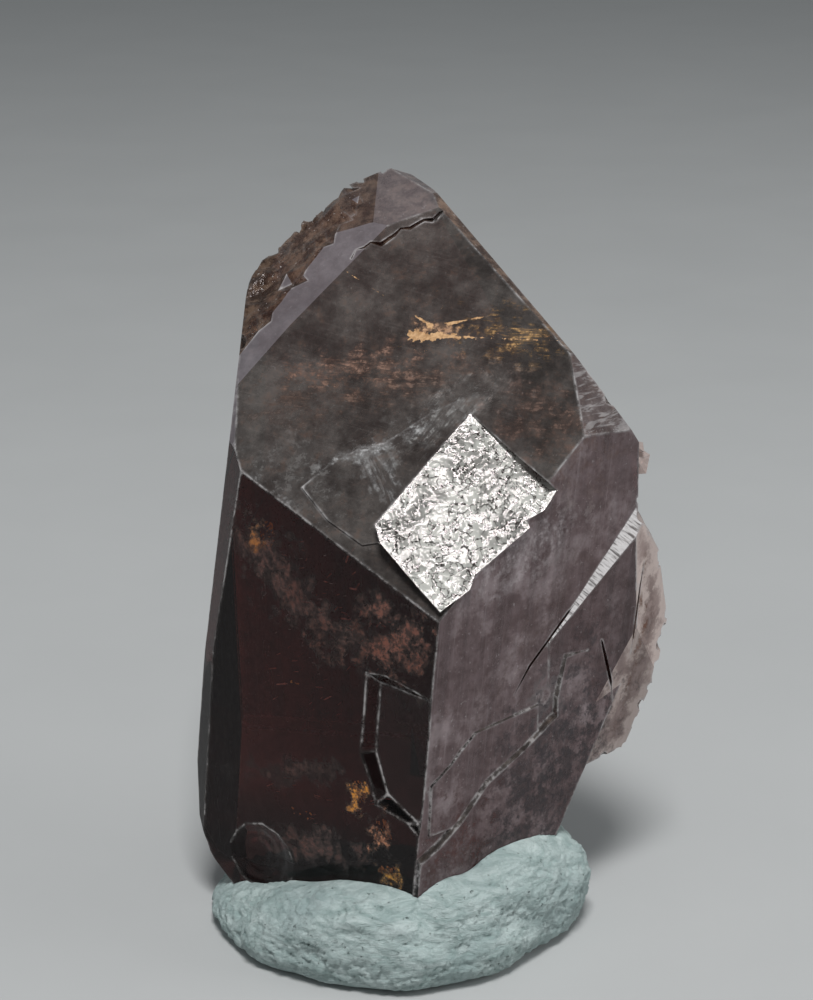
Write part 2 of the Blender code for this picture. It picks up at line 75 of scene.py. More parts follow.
# Named faces: a point of the plane, its outward normal, and what the face shows.
# clear = glassy, haze = cloudy skin, grain = striations, foil = crinkles painted as a silver reflection with
# shade in the creases, cross = cross-striations painted with a highlight, wave = wavy lines, rough = broken,
# pale = thin beige rim, strip = lighter bevel, chip = rippled
FACES = {
    "left_front": ((0.26, -7.93, 18.62), (-0.575, -0.817, 0.048), {"clear": 1.0}),
    "window_floor": ((-1.27, -6.99, 11.49), (-0.660, -0.750, 0.044), {"clear": 1.0}),
    "roof": ((-9.03, -1.13, 23.04), (-0.175, -0.723, 0.669), {"haze": 0.6}),
    "right_front": ((0.26, -7.93, 18.62), (0.631, -0.774, -0.052), {"haze": 0.45, "grain": 1.0}),
    "second_front": ((9.77, -0.88, 18.70), (0.561, -0.825, -0.075), {"haze": 0.3, "grain": 1.0}),
    "plateau": ((0.26, -7.93, 18.62), (0.001, -0.729, 0.684), {"foil": 1.0, "haze": 0.35}),
    "riser": ((9.72, -0.37, 20.94), (-0.003, -0.876, 0.482), {"cross": 1.0, "haze": 0.35}),
    "shoulder": ((6.38, 0.11, 28.42), (0.534, -0.561, 0.633), {"wave": 1.0, "haze": 0.7, "grain": 0.4}),
    "left_edge_upper": ((-9.04, -1.14, 22.80), (-0.881, -0.457, 0.123), {"clear": 1.0}),
    "left_edge_lower": ((-10.62, -0.56, 13.65), (-0.831, -0.552, 0.067), {"clear": 1.0}),
    "roof_edge_top": ((-3.97, 5.69, 31.73), (-0.282, -0.639, 0.716), {"haze": 0.5, "strip": 1.0}),
    "roof_edge_mid": ((-6.93, 3.62, 28.72), (-0.317, -0.595, 0.739), {"haze": 0.5, "strip": 1.0}),
    "roof_edge_low": ((-9.28, 2.20, 26.57), (-0.756, -0.475, 0.450), {"haze": 0.5, "strip": 1.0}),
    "broken_flank": ((-4.82, 6.31, 31.90), (-0.410, -0.511, 0.756), {"haze": 0.4, "rough": 1.0}),
    "roof_rim": ((0.26, 6.78, 34.02), (0.431, -0.317, 0.845), {"haze": 0.7, "rough": 0.6}),
    "cap_right": ((0.74, 6.72, 34.08), (-0.248, -0.501, 0.829), {"haze": 0.55, "rough": 0.35, "strip": 0.6}),
    "cap_left": ((-2.82, 7.00, 33.19), (-0.324, -0.485, 0.812), {"haze": 0.45, "rough": 0.5}),
    "tip": ((-1.98, 9.99, 35.24), (0.269, -0.088, 0.959), {"haze": 0.55, "rough": 0.5, "strip": 0.6}),
    "fringe_upper": ((10.22, -0.38, 19.80), (0.766, -0.642, -0.040), {"pale": 1.0, "grain": 0.6}),
    "fringe_lower": ((9.87, -0.43, 14.60), (0.648, -0.748, -0.146), {"pale": 0.8, "grain": 0.6}),
    "edge_top": ((9.92, 0.57, 20.30), (0.870, 0.059, 0.490), {"pale": 1.0, "rough": 0.8}),
    "edge_upper": ((10.82, 0.87, 18.90), (0.973, 0.107, 0.204), {"pale": 1.0, "rough": 0.8}),
    "edge_lower": ((11.92, 0.87, 14.40), (0.929, 0.300, -0.215), {"pale": 1.0, "rough": 0.8}),
    "edge_foot": ((10.97, 0.77, 10.80), (0.856, 0.314, -0.412), {"pale": 1.0, "rough": 0.8}),
    "toe": ((9.77, 0.37, 8.00), (0.193, -0.121, -0.974), {"pale": 0.6, "rough": 0.6}),
    "second_back": ((9.97, 2.77, 16.00), (0.501, 0.865, -0.031), {"haze": 0.35, "grain": 0.8}),
    "right_edge": ((9.53, -0.43, 24.78), (0.878, 0.473, 0.071), {"haze": 0.35, "grain": 0.7}),
    "right_shoulder_edge": ((8.11, 0.17, 27.05), (0.810, 0.437, 0.391), {"haze": 0.35}),
    "right_shoulder_back": ((0.75, 7.17, 33.99), (0.798, 0.206, 0.566), {"haze": 0.35}),
    "left_side": ((-9.83, 0.07, 22.40), (-0.990, -0.046, 0.137), {"haze": 0.1, "grain": 0.2}),
    "left_side_low": ((-11.10, 0.27, 13.30), (-0.994, 0.060, 0.094), {"haze": 0.1, "grain": 0.2}),
    "left_back": ((-9.23, 7.17, 28.00), (-0.792, 0.600, -0.108), {"haze": 0.25, "grain": 0.8}),
    "back": ((-1.23, 9.97, 35.20), (0.025, 0.989, -0.145), {"haze": 0.3, "grain": 1.0}),
    "back_foot": ((-1.23, 5.17, 6.00), (0.031, 0.924, -0.381), {"haze": 0.3, "grain": 0.6}),
    "right_foot": ((7.44, -1.33, 7.70), (0.900, 0.104, -0.422), {"haze": 0.25, "grain": 0.4}),
}

# A facet belongs to a named face that it is turned like and lies near
FACE_LIKENESS = 0.9985
FACE_REACH = 0.40

# Facets of no named face are broken: pale past this X, of the flank above this Z
PALE_EDGE_FROM = 8.8
FLANK_FROM = 26.5
OTHER_LOOKS = {
    "broken": {"haze": 0.40, "rough": 0.2},
    "flank_broken": {"haze": 0.40, "rough": 1.0},
    "pale_broken": {"pale": 0.9, "rough": 0.8},
    "chip": {"clear": 1.0, "chip": 1.0},
    "bevel": {"clear": 1.0},
}
LOOKS = ("clear", "haze", "grain", "foil", "cross", "wave", "rough", "pale", "strip", "chip")

# Fineness of the crystal's triangles; the back begins where the normals turn this far
BACK_FROM = 0.15
FINE_FRONT = 0.17
FINE_FOIL = 0.095
FINE_BROKEN = 0.13
FINE_BACK = 0.36

# Facets: what is merged, what counts as flat and as a sharp border, and how borders are sampled
MERGE = 0.001
FLAT_DEGREES = 0.6
SHARP_DEGREES = 14.0
BORDER_STEP = 0.04

# Lattice inside a facet: its shake and its distance from the border, in steps of the lattice
LATTICE_SHAKE = 0.14
BORDER_MARGIN = 0.45
TESTED_AT_ONCE = 400000
TINY = 1e-12
SAME_POINT = 1e-7

# Tack: fineness of its mesh, and how far from the crystal it is pressed on, drawn near and kneaded
FINE_TACK = 0.13
TACK_SMOOTHINGS = 4
UNDERSIDE = 0.05
TACK_GAP = 0.04
TACK_STILL = 0.6
TACK_PRESSED = 0.62
TACK_DRAWN = 1.2
TACK_FREE = 1.5
TACK_NEAR = 1.6

# The striations run along the keel and vary across it
KEEL = Vector((1.16, 0.0, 14.01)).normalized()
ACROSS_KEEL = (0.79, 0.61, -0.065)

# The strip with the painted highlight: its length and its width
DOWN_STRIP = (0.62, 0.38, 0.69)
OVER_STRIP = (0.78, -0.30, -0.54)

# Rippled chip at the foot of the left front, and the bevelled window beside the keel
CHIP_CENTRE = (-8.35, -2.35, 3.80)
CHIP_REACH = 2.4
WINDOW_CENTRE = (-1.90, -6.40, 11.30)
WINDOW_REACH = 4.2

# What is seen inside the crystal, as thin flakes under a face.
# Each patch: face, centre, half width along the face and up it, how deep, how many, longest and
# shortest flake, slenderness, turn in the face in degrees, and how much the turn varies.
INSIDE = {
    "gold_flecks": (
        ("roof", (0.2, 2.2, 29.05), (1.35, 0.22), (0.35, 0.6), 34, (1.15, 0.4), 0.26, 4.0, 9.0),
        ("roof", (1.3, 2.2, 29.05), (0.6, 0.14), (0.3, 0.45), 12, (0.7, 0.3), 0.22, -3.0, 6.0),
        ("roof", (4.1, 1.1, 28.8), (2.4, 0.75), (0.3, 1.1), 120, (0.34, 0.08), 0.32, -12.0, 25.0),
        ("roof", (-0.6, 1.8, 28.4), (1.6, 0.3), (0.4, 0.9), 40, (0.5, 0.12), 0.18, 12.0, 16.0),
        ("roof", (0.2, 3.4, 30.1), (0.6, 0.7), (0.3, 0.6), 10, (0.3, 0.1), 0.3, 60.0, 30.0),
        ("broken_flank", (-8.7, 4.6, 28.4), (0.35, 0.45), (0.3, 0.6), 16, (0.45, 0.16), 0.55, 40.0, 60.0),
    ),
    "brown_wisps": (
        ("roof", (-3.2, 1.5, 27.6), (2.3, 0.55), (0.3, 1.2), 90, (1.1, 0.25), 0.12, 10.0, 14.0),
        ("roof", (-5.2, 0.6, 26.1), (2.2, 1.6), (0.4, 1.6), 120, (0.9, 0.2), 0.14, 24.0, 28.0),
        ("roof", (1.2, 1.2, 27.9), (3.2, 1.0), (0.5, 1.6), 110, (0.8, 0.16), 0.14, -4.0, 20.0),
        ("roof", (-0.8, 0.2, 26.4), (2.6, 1.4), (0.5, 1.6), 120, (0.8, 0.16), 0.16, 18.0, 30.0),
        ("right_front", (4.6, -4.7, 25.6), (2.2, 1.6), (0.4, 1.4), 110, (0.6, 0.12), 0.3, 30.0, 50.0),
        ("right_front", (4.6, -4.2, 19.6), (3.0, 3.2), (0.5, 1.6), 90, (0.7, 0.14), 0.16, 70.0, 30.0),
    ),
    "red_veils": (
        ("left_front", (-6.0, -3.5, 19.0), (3.4, 2.4), (0.8, 2.6), 44, (0.8, 0.1), 0.2, 38.0, 40.0),
        ("left_front", (-2.9, -5.8, 16.1), (2.6, 1.7), (0.8, 2.4), 44, (0.6, 0.1), 0.26, 25.0, 60.0),
        ("left_front", (-6.2, -3.7, 12.4), (3.2, 2.6), (0.8, 2.6), 26, (0.9, 0.1), 0.12, 30.0, 24.0),
        ("left_front", (-5.4, -4.4, 7.4), (3.8, 1.5), (0.8, 2.4), 22, (0.9, 0.1), 0.12, 8.0, 24.0),
    ),
    "orange_stains": (
        ("left_front", (-3.6, -5.75, 8.55), (0.42, 0.5), (0.35, 0.75), 46, (0.42, 0.14), 0.6, 70.0, 60.0),
        ("left_front", (-2.5, -6.65, 6.95), (0.52, 0.62), (0.35, 0.75), 40, (0.44, 0.14), 0.45, 80.0, 40.0),
        ("left_front", (-2.15, -7.05, 4.95), (0.62, 0.34), (0.35, 0.75), 40, (0.4, 0.14), 0.6, 20.0, 60.0),
        ("left_front", (-6.65, -3.4, 13.16), (0.28, 0.07), (0.3, 0.4), 5, (0.42, 0.2), 0.3, 4.0, 6.0),
        ("left_front", (-6.2, -3.9, 6.45), (0.9, 0.22), (0.3, 0.5), 7, (0.24, 0.1), 0.6, 20.0, 60.0),
        ("left_front", (-8.0, -2.0, 20.0), (0.55, 0.7), (0.5, 0.9), 26, (0.4, 0.12), 0.4, 50.0, 40.0),
    ),
    "grey_wisps": (
        ("roof", (-6.2, 0.1, 25.1), (1.6, 0.6), (0.14, 0.35), 46, (0.85, 0.2), 0.12, 12.0, 14.0),
        ("roof", (1.6, -0.5, 26.5), (1.7, 0.75), (0.14, 0.4), 110, (0.8, 0.15), 0.14, 38.0, 22.0),
        ("roof", (-1.9, -1.6, 24.6), (2.4, 0.9), (0.14, 0.4), 80, (0.8, 0.15), 0.12, 46.0, 16.0),
        ("left_front", (-5.8, -3.6, 17.4), (3.2, 3.2), (0.5, 1.2), 24, (0.55, 0.1), 0.1, 34.0, 30.0),
        ("right_front", (5.4, -3.4, 12.4), (0.8, 0.5), (0.16, 0.4), 60, (0.3, 0.08), 0.5, 20.0, 60.0),
        ("right_front", (3.1, -5.6, 18.4), (2.2, 2.8), (0.2, 0.8), 60, (0.3, 0.08), 0.3, 60.0, 60.0),
    ),
}

# Soft clouds just under a face, and near-black patches of painted shade at the right front's foot: face,
# centre, half length and half width, turn in the face in degrees, how streaky, colour, and how dense.
CLOUDS_AND_SHADE = (
    ("roof", (-6.26, 0.83, 25.88), (3.4, 2.2), 20.0, 0.5, (0.142, 0.091, 0.072), 0.7),
    ("roof", (-3.19, 1.5, 27.41), (4.6, 1.5), 8.0, 0.9, (0.437, 0.257, 0.190), 0.75),
    ("roof", (-0.6, 0.6, 26.9), (5.0, 1.5), 14.0, 0.9, (0.323, 0.209, 0.162), 0.6),
    ("roof", (0.15, 2.2, 29.02), (1.8, 0.5), -3.0, 0.2, (0.560, 0.330, 0.200), 0.85),
    ("roof", (3.9, 1.15, 28.85), (3.2, 1.7), -14.0, 1.0, (0.660, 0.390, 0.160), 0.88),
    ("roof", (1.0, -1.0, 25.9), (4.6, 1.8), 40.0, 0.7, (0.420, 0.415, 0.405), 0.72),
    ("roof", (-3.16, -1.53, 24.15), (3.6, 0.55), 27.0, 0.5, (0.525, 0.525, 0.525), 0.85),
    ("roof", (-6.4, -1.6, 23.0), (3.8, 2.4), -35.0, 0.2, (0.215, 0.205, 0.198), 0.6),
    ("roof", (-2.3, -2.6, 23.2), (2.6, 1.0), -50.0, 1.0, (0.532, 0.532, 0.532), 0.6),
    ("roof", (-5.19, -4.41, 20.5), (5.4, 0.75), -38.0, 0.5, (0.475, 0.465, 0.465), 0.6),
    ("roof", (4.9, -1.9, 25.72), (3.8, 2.8), -30.0, 0.5, (0.285, 0.171, 0.133), 0.6),
    ("left_front", (-1.52, -6.78, 16.79), (2.8, 2.6), 50.0, 0.3, (0.440, 0.150, 0.098), 0.6),
    ("left_front", (-6.92, -2.92, 17.96), (5.2, 1.9), -40.0, 0.5, (0.330, 0.095, 0.062), 0.46),
    ("left_front", (-3.6, -5.2, 16.2), (3.6, 1.3), 18.0, 0.6, (0.360, 0.125, 0.082), 0.46),
    ("left_front", (-6.32, -3.87, 8.84), (4.6, 0.9), 14.0, 0.6, (0.280, 0.080, 0.052), 0.36),
    ("left_front", (-5.6, -4.4, 5.2), (4.2, 1.2), 10.0, 0.2, (0.240, 0.075, 0.055), 0.5),
    ("left_front", (-3.6, -5.75, 8.55), (1.15, 0.85), 60.0, 0.3, (0.860, 0.340, 0.050), 0.95),
    ("left_front", (-2.5, -6.65, 6.85), (1.4, 0.7), 75.0, 0.3, (0.860, 0.370, 0.200), 0.95),
    ("left_front", (-2.15, -7.05, 4.9), (1.2, 0.75), 20.0, 0.3, (0.680, 0.330, 0.060), 0.9),
    ("left_front", (-8.3, -1.9, 20.1), (1.1, 0.6), 70.0, 0.3, (0.520, 0.200, 0.050), 0.8),
    ("right_front", (4.17, -4.88, 20.68), (4.6, 2.6), 10.0, 0.3, (0.560, 0.500, 0.510), 0.62),
    ("right_front", (5.35, -3.35, 12.27), (1.5, 1.5), 70.0, 0.3, (0.560, 0.500, 0.500), 0.75),
    ("right_front", (5.71, -3.94, 25.39), (5.0, 3.0), -35.0, 0.4, (0.190, 0.115, 0.095), 0.65),
    ("right_front", (4.9, -3.6, 16.8), (6.0, 2.0), 48.0, 0.5, (0.130, 0.085, 0.080), 0.65),
    # Painted shade: these two near-black patches darken the foot of the right front, next to the tack.
    ("right_front", (5.4, -3.0, 9.4), (9.0, 4.2), 52.0, 0.2, (0.050, 0.042, 0.046), 0.95),
    ("right_front", (6.2, -2.3, 6.9), (6.4, 4.4), 40.0, 0.2, (0.040, 0.033, 0.036), 0.95),
    ("right_front", (0.9, -6.6, 6.0), (4.6, 2.6), 60.0, 0.2, (0.085, 0.035, 0.032), 0.85),
    ("fringe_lower", (10.3, -0.2, 13.6), (3.2, 0.35), 80.0, 0.3, (0.150, 0.062, 0.035), 0.95),
    ("fringe_upper", (10.04, -0.37, 16.19), (3.4, 0.3), 84.0, 0.3, (0.170, 0.085, 0.055), 0.9),
)

# Gold gleams under the roof: broad end, length, half width and turn in the face in degrees
GLEAMS = (
    ((-1.2, 2.13, 28.75), 3.6, 0.34, 1.5),
    ((0.05, 2.3, 29.0), 1.6, 0.17, 150.0),
    ((0.6, 2.4, 29.05), 2.4, 0.13, 16.0),
)
GLEAM_COLOUR = (0.72, 0.45, 0.24)
GLEAM_SHADE = (0.3, 0.15, 0.06)

# How deep a cloud reaches, from where its streaks show, and in which turns they are drawn
CLOUD_DEPTH = 1.2
STREAKY_FROM = 0.35
STREAK_TURN = 60.0

# Flakes: thickness against length, tilt, distance kept from the surface, points of each
FLAKE_THINNESS = 0.05
FLAKE_TILT_DEGREES = 9.0
FLAKE_CLEARANCE = 0.06
FLAKE_POINTS = 12


def mm(values):
    return Vector(values) * MM


def new_object(name, mesh):
    obj = bpy.data.objects.new(name, mesh)
    bpy.context.scene.collection.objects.link(obj)
    return obj


def merged_copy(node):
    """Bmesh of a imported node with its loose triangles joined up."""
    bm = bmesh.new()
    bm.from_mesh(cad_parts[node].data)
    bmesh.ops.remove_doubles(bm, verts=bm.verts, dist=MERGE * MM)
    return bm


def named_face(normal, centre):
    """The named face this facet lies on, or what it is if it lies on none."""
    best, likeness = "broken", FACE_LIKENESS
    for name, (point, direction, _) in FACES.items():
        direction = Vector(direction).normalized()
        if normal.dot(direction) < likeness:
            continue
        if abs((centre / MM - Vector(point)).dot(direction)) < FACE_REACH:
            best, likeness = name, normal.dot(direction)
    if best == "broken" and centre.x > PALE_EDGE_FROM * MM:
        best = "pale_broken"
    if best == "broken" and centre.z > FLANK_FROM * MM and centre.x < 0.0:
        best = "flank_broken"
    if best == "broken" and (centre / MM - Vector(CHIP_CENTRE)).length < CHIP_REACH:
        best = "chip"
    if best == "broken" and (centre / MM - Vector(WINDOW_CENTRE)).length < WINDOW_REACH:
        best = "bevel"
    return best


def fineness(name, normal):
    if name in ("plateau", "riser"):
        return FINE_FOIL
    if normal.y > BACK_FROM:
        return FINE_BACK
    return FINE_FRONT if name in FACES else FINE_BROKEN


def inside_points(outline, step, dice):
    """Points of a shaken triangular lattice inside the outline, clear of its border."""
    low, high = outline.min(axis=0), outline.max(axis=0)
    rows = np.arange(low[1], high[1], step * math.sqrt(0.75))
    columns = np.arange(low[0], high[0], step)
    if len(rows) == 0 or len(columns) == 0:
        return np.empty((0, 2))
    grid = np.array([(x + 0.5 * step * (i % 2), y) for i, y in enumerate(rows) for x in columns])
    grid += dice.uniform(-LATTICE_SHAKE, LATTICE_SHAKE, grid.shape) * step
    ends = np.roll(outline, -1, axis=0)
    keep = []
    for part in np.array_split(grid, len(grid) * len(outline) // TESTED_AT_ONCE + 1):
        x, y = part[:, 0:1], part[:, 1:2]
        ax, ay, bx, by = outline[:, 0], outline[:, 1], ends[:, 0], ends[:, 1]
        spans = (ay > y) != (by > y)
        crossing = ax + (y - ay) * (bx - ax) / np.where(by == ay, TINY, by - ay)
        inside = (spans & (x < crossing)).sum(axis=1) % 2 == 1
        length = np.maximum((bx - ax) ** 2 + (by - ay) ** 2, TINY)
        share = np.clip(((x - ax) * (bx - ax) + (y - ay) * (by - ay)) / length, 0.0, 1.0)
        gap = np.sqrt(((ax + share * (bx - ax) - x) ** 2 + (ay + share * (by - ay) - y) ** 2).min(axis=1))
        keep.append(part[inside & (gap > BORDER_MARGIN * step)])
    return np.concatenate(keep)


def fill_facet(outline, inner):
    """Triangles between the outline's points and the inner ones, as indices, outline first."""
    points = [Vector(point) for point in outline] + [Vector(point) for point in inner]
    count = len(outline)
    keep_inside = 1
    found = delaunay_2d_cdt(points, [], [list(range(count))], keep_inside, SAME_POINT)
    verts, _, faces, originals = found[:4]
    index = [group[0] if len(group) == 1 else -1 for group in originals]
    if len(verts) != len(points) or -1 in index or not faces:
        return None
    return [[index[i] for i in face] for face in faces]


def fine_crystal():
    """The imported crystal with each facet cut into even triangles; borders are shared."""
    bm = merged_copy("crystal")
    bmesh.ops.dissolve_limit(bm, angle_limit=math.radians(FLAT_DEGREES), verts=bm.verts, edges=bm.edges)
    names = {}
    steps = {}
    for face in bm.faces:
        names[face.index] = named_face(face.normal, face.calc_center_median())
        steps[face.index] = fineness(names[face.index], face.normal)
    points = [vert.co / MM for vert in bm.verts]
    along = {}
    for edge in bm.edges:
        step = min(steps[face.index] for face in edge.link_faces)
        start, end = (vert.co / MM for vert in edge.verts)
        count = max(1, round((end - start).length / step))
        along[edge.index] = list(range(len(points), len(points) + count - 1))
        points += [start.lerp(end, (i + 1) / count) for i in range(count - 1)]
    borders = sharp_borders(bm)
    facing = {face.index: face.normal.copy() for face in bm.faces}
    faces = []
    facet_of = []
    looks = []
    for face in bm.faces:
        rim = []
        for loop in face.loops:
            run = along[loop.edge.index]
            rim += [loop.vert.index] + (run if loop.edge.verts[0] == loop.vert else run[::-1])
        side = face.normal.orthogonal().normalized()
        up = face.normal.cross(side)
        origin = points[rim[0]]
        flat = np.array([((points[i] - origin).dot(side), (points[i] - origin).dot(up)) for i in rim])
        dice = np.random.default_rng(face.index)
        inner = inside_points(flat, steps[face.index], dice)
        made = fill_facet(flat, inner)
        if made is None:
            inner = inner[:0]
            made = tessellate_polygon([[Vector((*point, 0.0)) for point in flat]])
        index = rim + list(range(len(points), len(points) + len(inner)))
        points += [origin + side * x + up * y for x, y in inner]
        for corners in made:
            a, b, c = (index[i] for i in corners)
            turn = (points[b] - points[a]).cross(points[c] - points[a]).dot(face.normal)
            faces.append((a, b, c) if turn > 0 else (a, c, b))
            looks.append(names[face.index])
            facet_of.append(face.index)
    bm.free()
    mesh = bpy.data.meshes.new("axinite_crystal")
    mesh.from_pydata([point * MM for point in points], [], faces)
    gaps = [borders.find(point)[2] for point in points]
    store_looks(mesh, points, gaps, faces, looks)
    keep_borders_sharp(mesh, [facing[facet] for facet in facet_of])
    return new_object("axinite_crystal", mesh)


def sharp_borders(bm):
    """Points all along the edges where two facets meet at a clear angle, in a search tree."""
    points = []
    for edge in bm.edges:
        if edge.calc_face_angle(0.0) < math.radians(SHARP_DEGREES):
            continue
        start, end = (vert.co / MM for vert in edge.verts)
        count = max(1, math.ceil((end - start).length / BORDER_STEP))
        points += [start.lerp(end, i / count) for i in range(count + 1)]
    tree = KDTree(len(points))
    for i, point in enumerate(points):
        tree.insert(point, i)
    tree.balance()
    return tree


def keep_borders_sharp(mesh, facing):
    """Smooth inside each facet, sharp where two facets meet at a clear angle."""
    mesh.polygons.foreach_set("use_smooth", [True] * len(mesh.polygons))
    limit = math.cos(math.radians(SHARP_DEGREES))
    first = {}
    sharp = np.zeros(len(mesh.edges), bool)
    for face in mesh.polygons:
        normal = facing[face.index]
        for corner in face.loop_indices:
            edge = mesh.loops[corner].edge_index
            if first.setdefault(edge, normal).dot(normal) < limit:
                sharp[edge] = True
    mesh.attributes.new("sharp_edge", "BOOLEAN", "EDGE").data.foreach_set("value", sharp)


def store_looks(mesh, points, gaps, faces, names):
    """Keeps what each face shows and how far its points lie from a sharp border."""
    shown_by = {name: shown for name, (_, _, shown) in FACES.items()}
    shown_by.update(OTHER_LOOKS)
    of_face = {name: [shown.get(look, 0.0) for look in LOOKS] for name, shown in shown_by.items()}
    by_face = np.array([of_face[name] for name in names])
    by_point = np.zeros((len(points), len(LOOKS)))
    corners = np.array(faces)
    for k in range(3):
        by_point[corners[:, k]] = by_face
    for i, look in enumerate(LOOKS):
        shown = mesh.attributes.new(look, "FLOAT", "FACE")
        shown.data.foreach_set("value", by_face[:, i].astype(np.float32))
        lift = mesh.attributes.new(look + "_lift", "FLOAT", "POINT")
        lift.data.foreach_set("value", by_point[:, i].astype(np.float32))
    mesh.attributes.new("gap", "FLOAT", "POINT").data.foreach_set("value", np.array(gaps, np.float32))


def node_tree(name, inputs):
    """Empty Geometry Nodes tree with these named inputs, and its group nodes."""
    tree = bpy.data.node_groups.new(name, "GeometryNodeTree")
    tree.interface.new_socket("Geometry", in_out="INPUT", socket_type="NodeSocketGeometry")
    for label, kind in inputs.items():
        tree.interface.new_socket(label, in_out="INPUT", socket_type="NodeSocket" + kind)
    tree.interface.new_socket("Geometry", in_out="OUTPUT", socket_type="NodeSocketGeometry")
    source = tree.nodes.new("NodeGroupInput")
    target = tree.nodes.new("NodeGroupOutput")
    return tree, source, target


def close_tree(m, geometry, source, target):
    """Ends a tree: the instances made real, then the finish."""
    realized = m.node("GeometryNodeRealizeInstances", {"Geometry": geometry}).outputs[0]
    inputs = {"Geometry": realized, "Material": source.outputs["Finish"]}
    finished = m.node("GeometryNodeSetMaterial", inputs)
    m.tree.links.new(finished.outputs[0], target.inputs[0])


class Maker:
    """Adds nodes to a tree in one line each; an input is a value or another node's socket."""

    def __init__(self, tree):
        self.tree = tree

    def node(self, kind, inputs=None, **settings):
        node = self.tree.nodes.new(kind)
        for key, value in settings.items():
            setattr(node, key, value)
        for key, value in (inputs or {}).items():
            if isinstance(value, bpy.types.NodeSocket):
                self.tree.links.new(value, node.inputs[key])
            else:
                node.inputs[key].default_value = value
        return node

    def math(self, operation, a, b=0.0):
        return self.node("ShaderNodeMath", {0: a, 1: b}, operation=operation).outputs[0]

    def times(self, first, *others):
        for other in others:
            first = self.math("MULTIPLY", first, other)
        return first

    def plus(self, a, b):
        return self.math("ADD", a, b)

    def minus(self, a, b):
        return self.math("SUBTRACT", a, b)

    def larger(self, a, b):
        return self.math("MAXIMUM", a, b)

    def smaller(self, a, b):
        return self.math("MINIMUM", a, b)

    def unsigned(self, a):
        return self.math("ABSOLUTE", a)

    def vector(self, x, y=0.0, z=0.0):
        return self.node("ShaderNodeCombineXYZ", {0: x, 1: y, 2: z}).outputs[0]

    def total(self, sockets):
        result = sockets[0]
        for socket in sockets[1:]:
            result = self.plus(result, socket)
        return result

    def ramp(self, value, low, high, to_low=0.0, to_high=1.0, smooth=True):
        node = self.node("ShaderNodeMapRange", {0: value, 1: low, 2: high, 3: to_low, 4: to_high})
        if smooth:
            node.interpolation_type = "SMOOTHSTEP"
        return node.outputs[0]

    def scaled(self, vector, by):
        return self.node("ShaderNodeVectorMath", {0: vector, 1: by}, operation="MULTIPLY").outputs[0]

    def dot(self, vector, direction):
        node = self.node("ShaderNodeVectorMath", {0: vector, 1: direction}, operation="DOT_PRODUCT")
        return node.outputs["Value"]

    def noise(self, vector, scale, detail=2.0, rough=0.5, distortion=0.0):
        inputs = {"Vector": vector, "Scale": scale, "Detail": detail, "Roughness": rough}
        inputs["Distortion"] = distortion
        return self.node("ShaderNodeTexNoise", inputs).outputs["Fac"]

    def ridge(self, vector, scale, detail=2.0, rough=0.5, distortion=0.0):
        """1 along thin curved lines of the noise, 0 away from them."""
        value = self.noise(vector, scale, detail, rough, distortion)
        return self.minus(1.0, self.times(self.unsigned(self.minus(value, 0.5)), 2.0))


class ReliefMaker(Maker):
    def named(self, name):
        node = self.node("GeometryNodeInputNamedAttribute", data_type="FLOAT")
        node.inputs["Name"].default_value = name
        return node.outputs[0]

    def place(self):
        """Position in millimetres."""
        return self.scaled(self.node("GeometryNodeInputPosition").outputs[0], TO_MM)

    def raised(self, geometry, height):
        """The surface moved along its normals by a height in metres."""
        normal = self.node("GeometryNodeInputNormal").outputs[0]
        offset = self.node("ShaderNodeVectorMath", {0: normal, "Scale": height}, operation="SCALE")
        inputs = {"Geometry": geometry, "Offset": offset.outputs[0]}
        return self.node("GeometryNodeSetPosition", inputs).outputs[0]


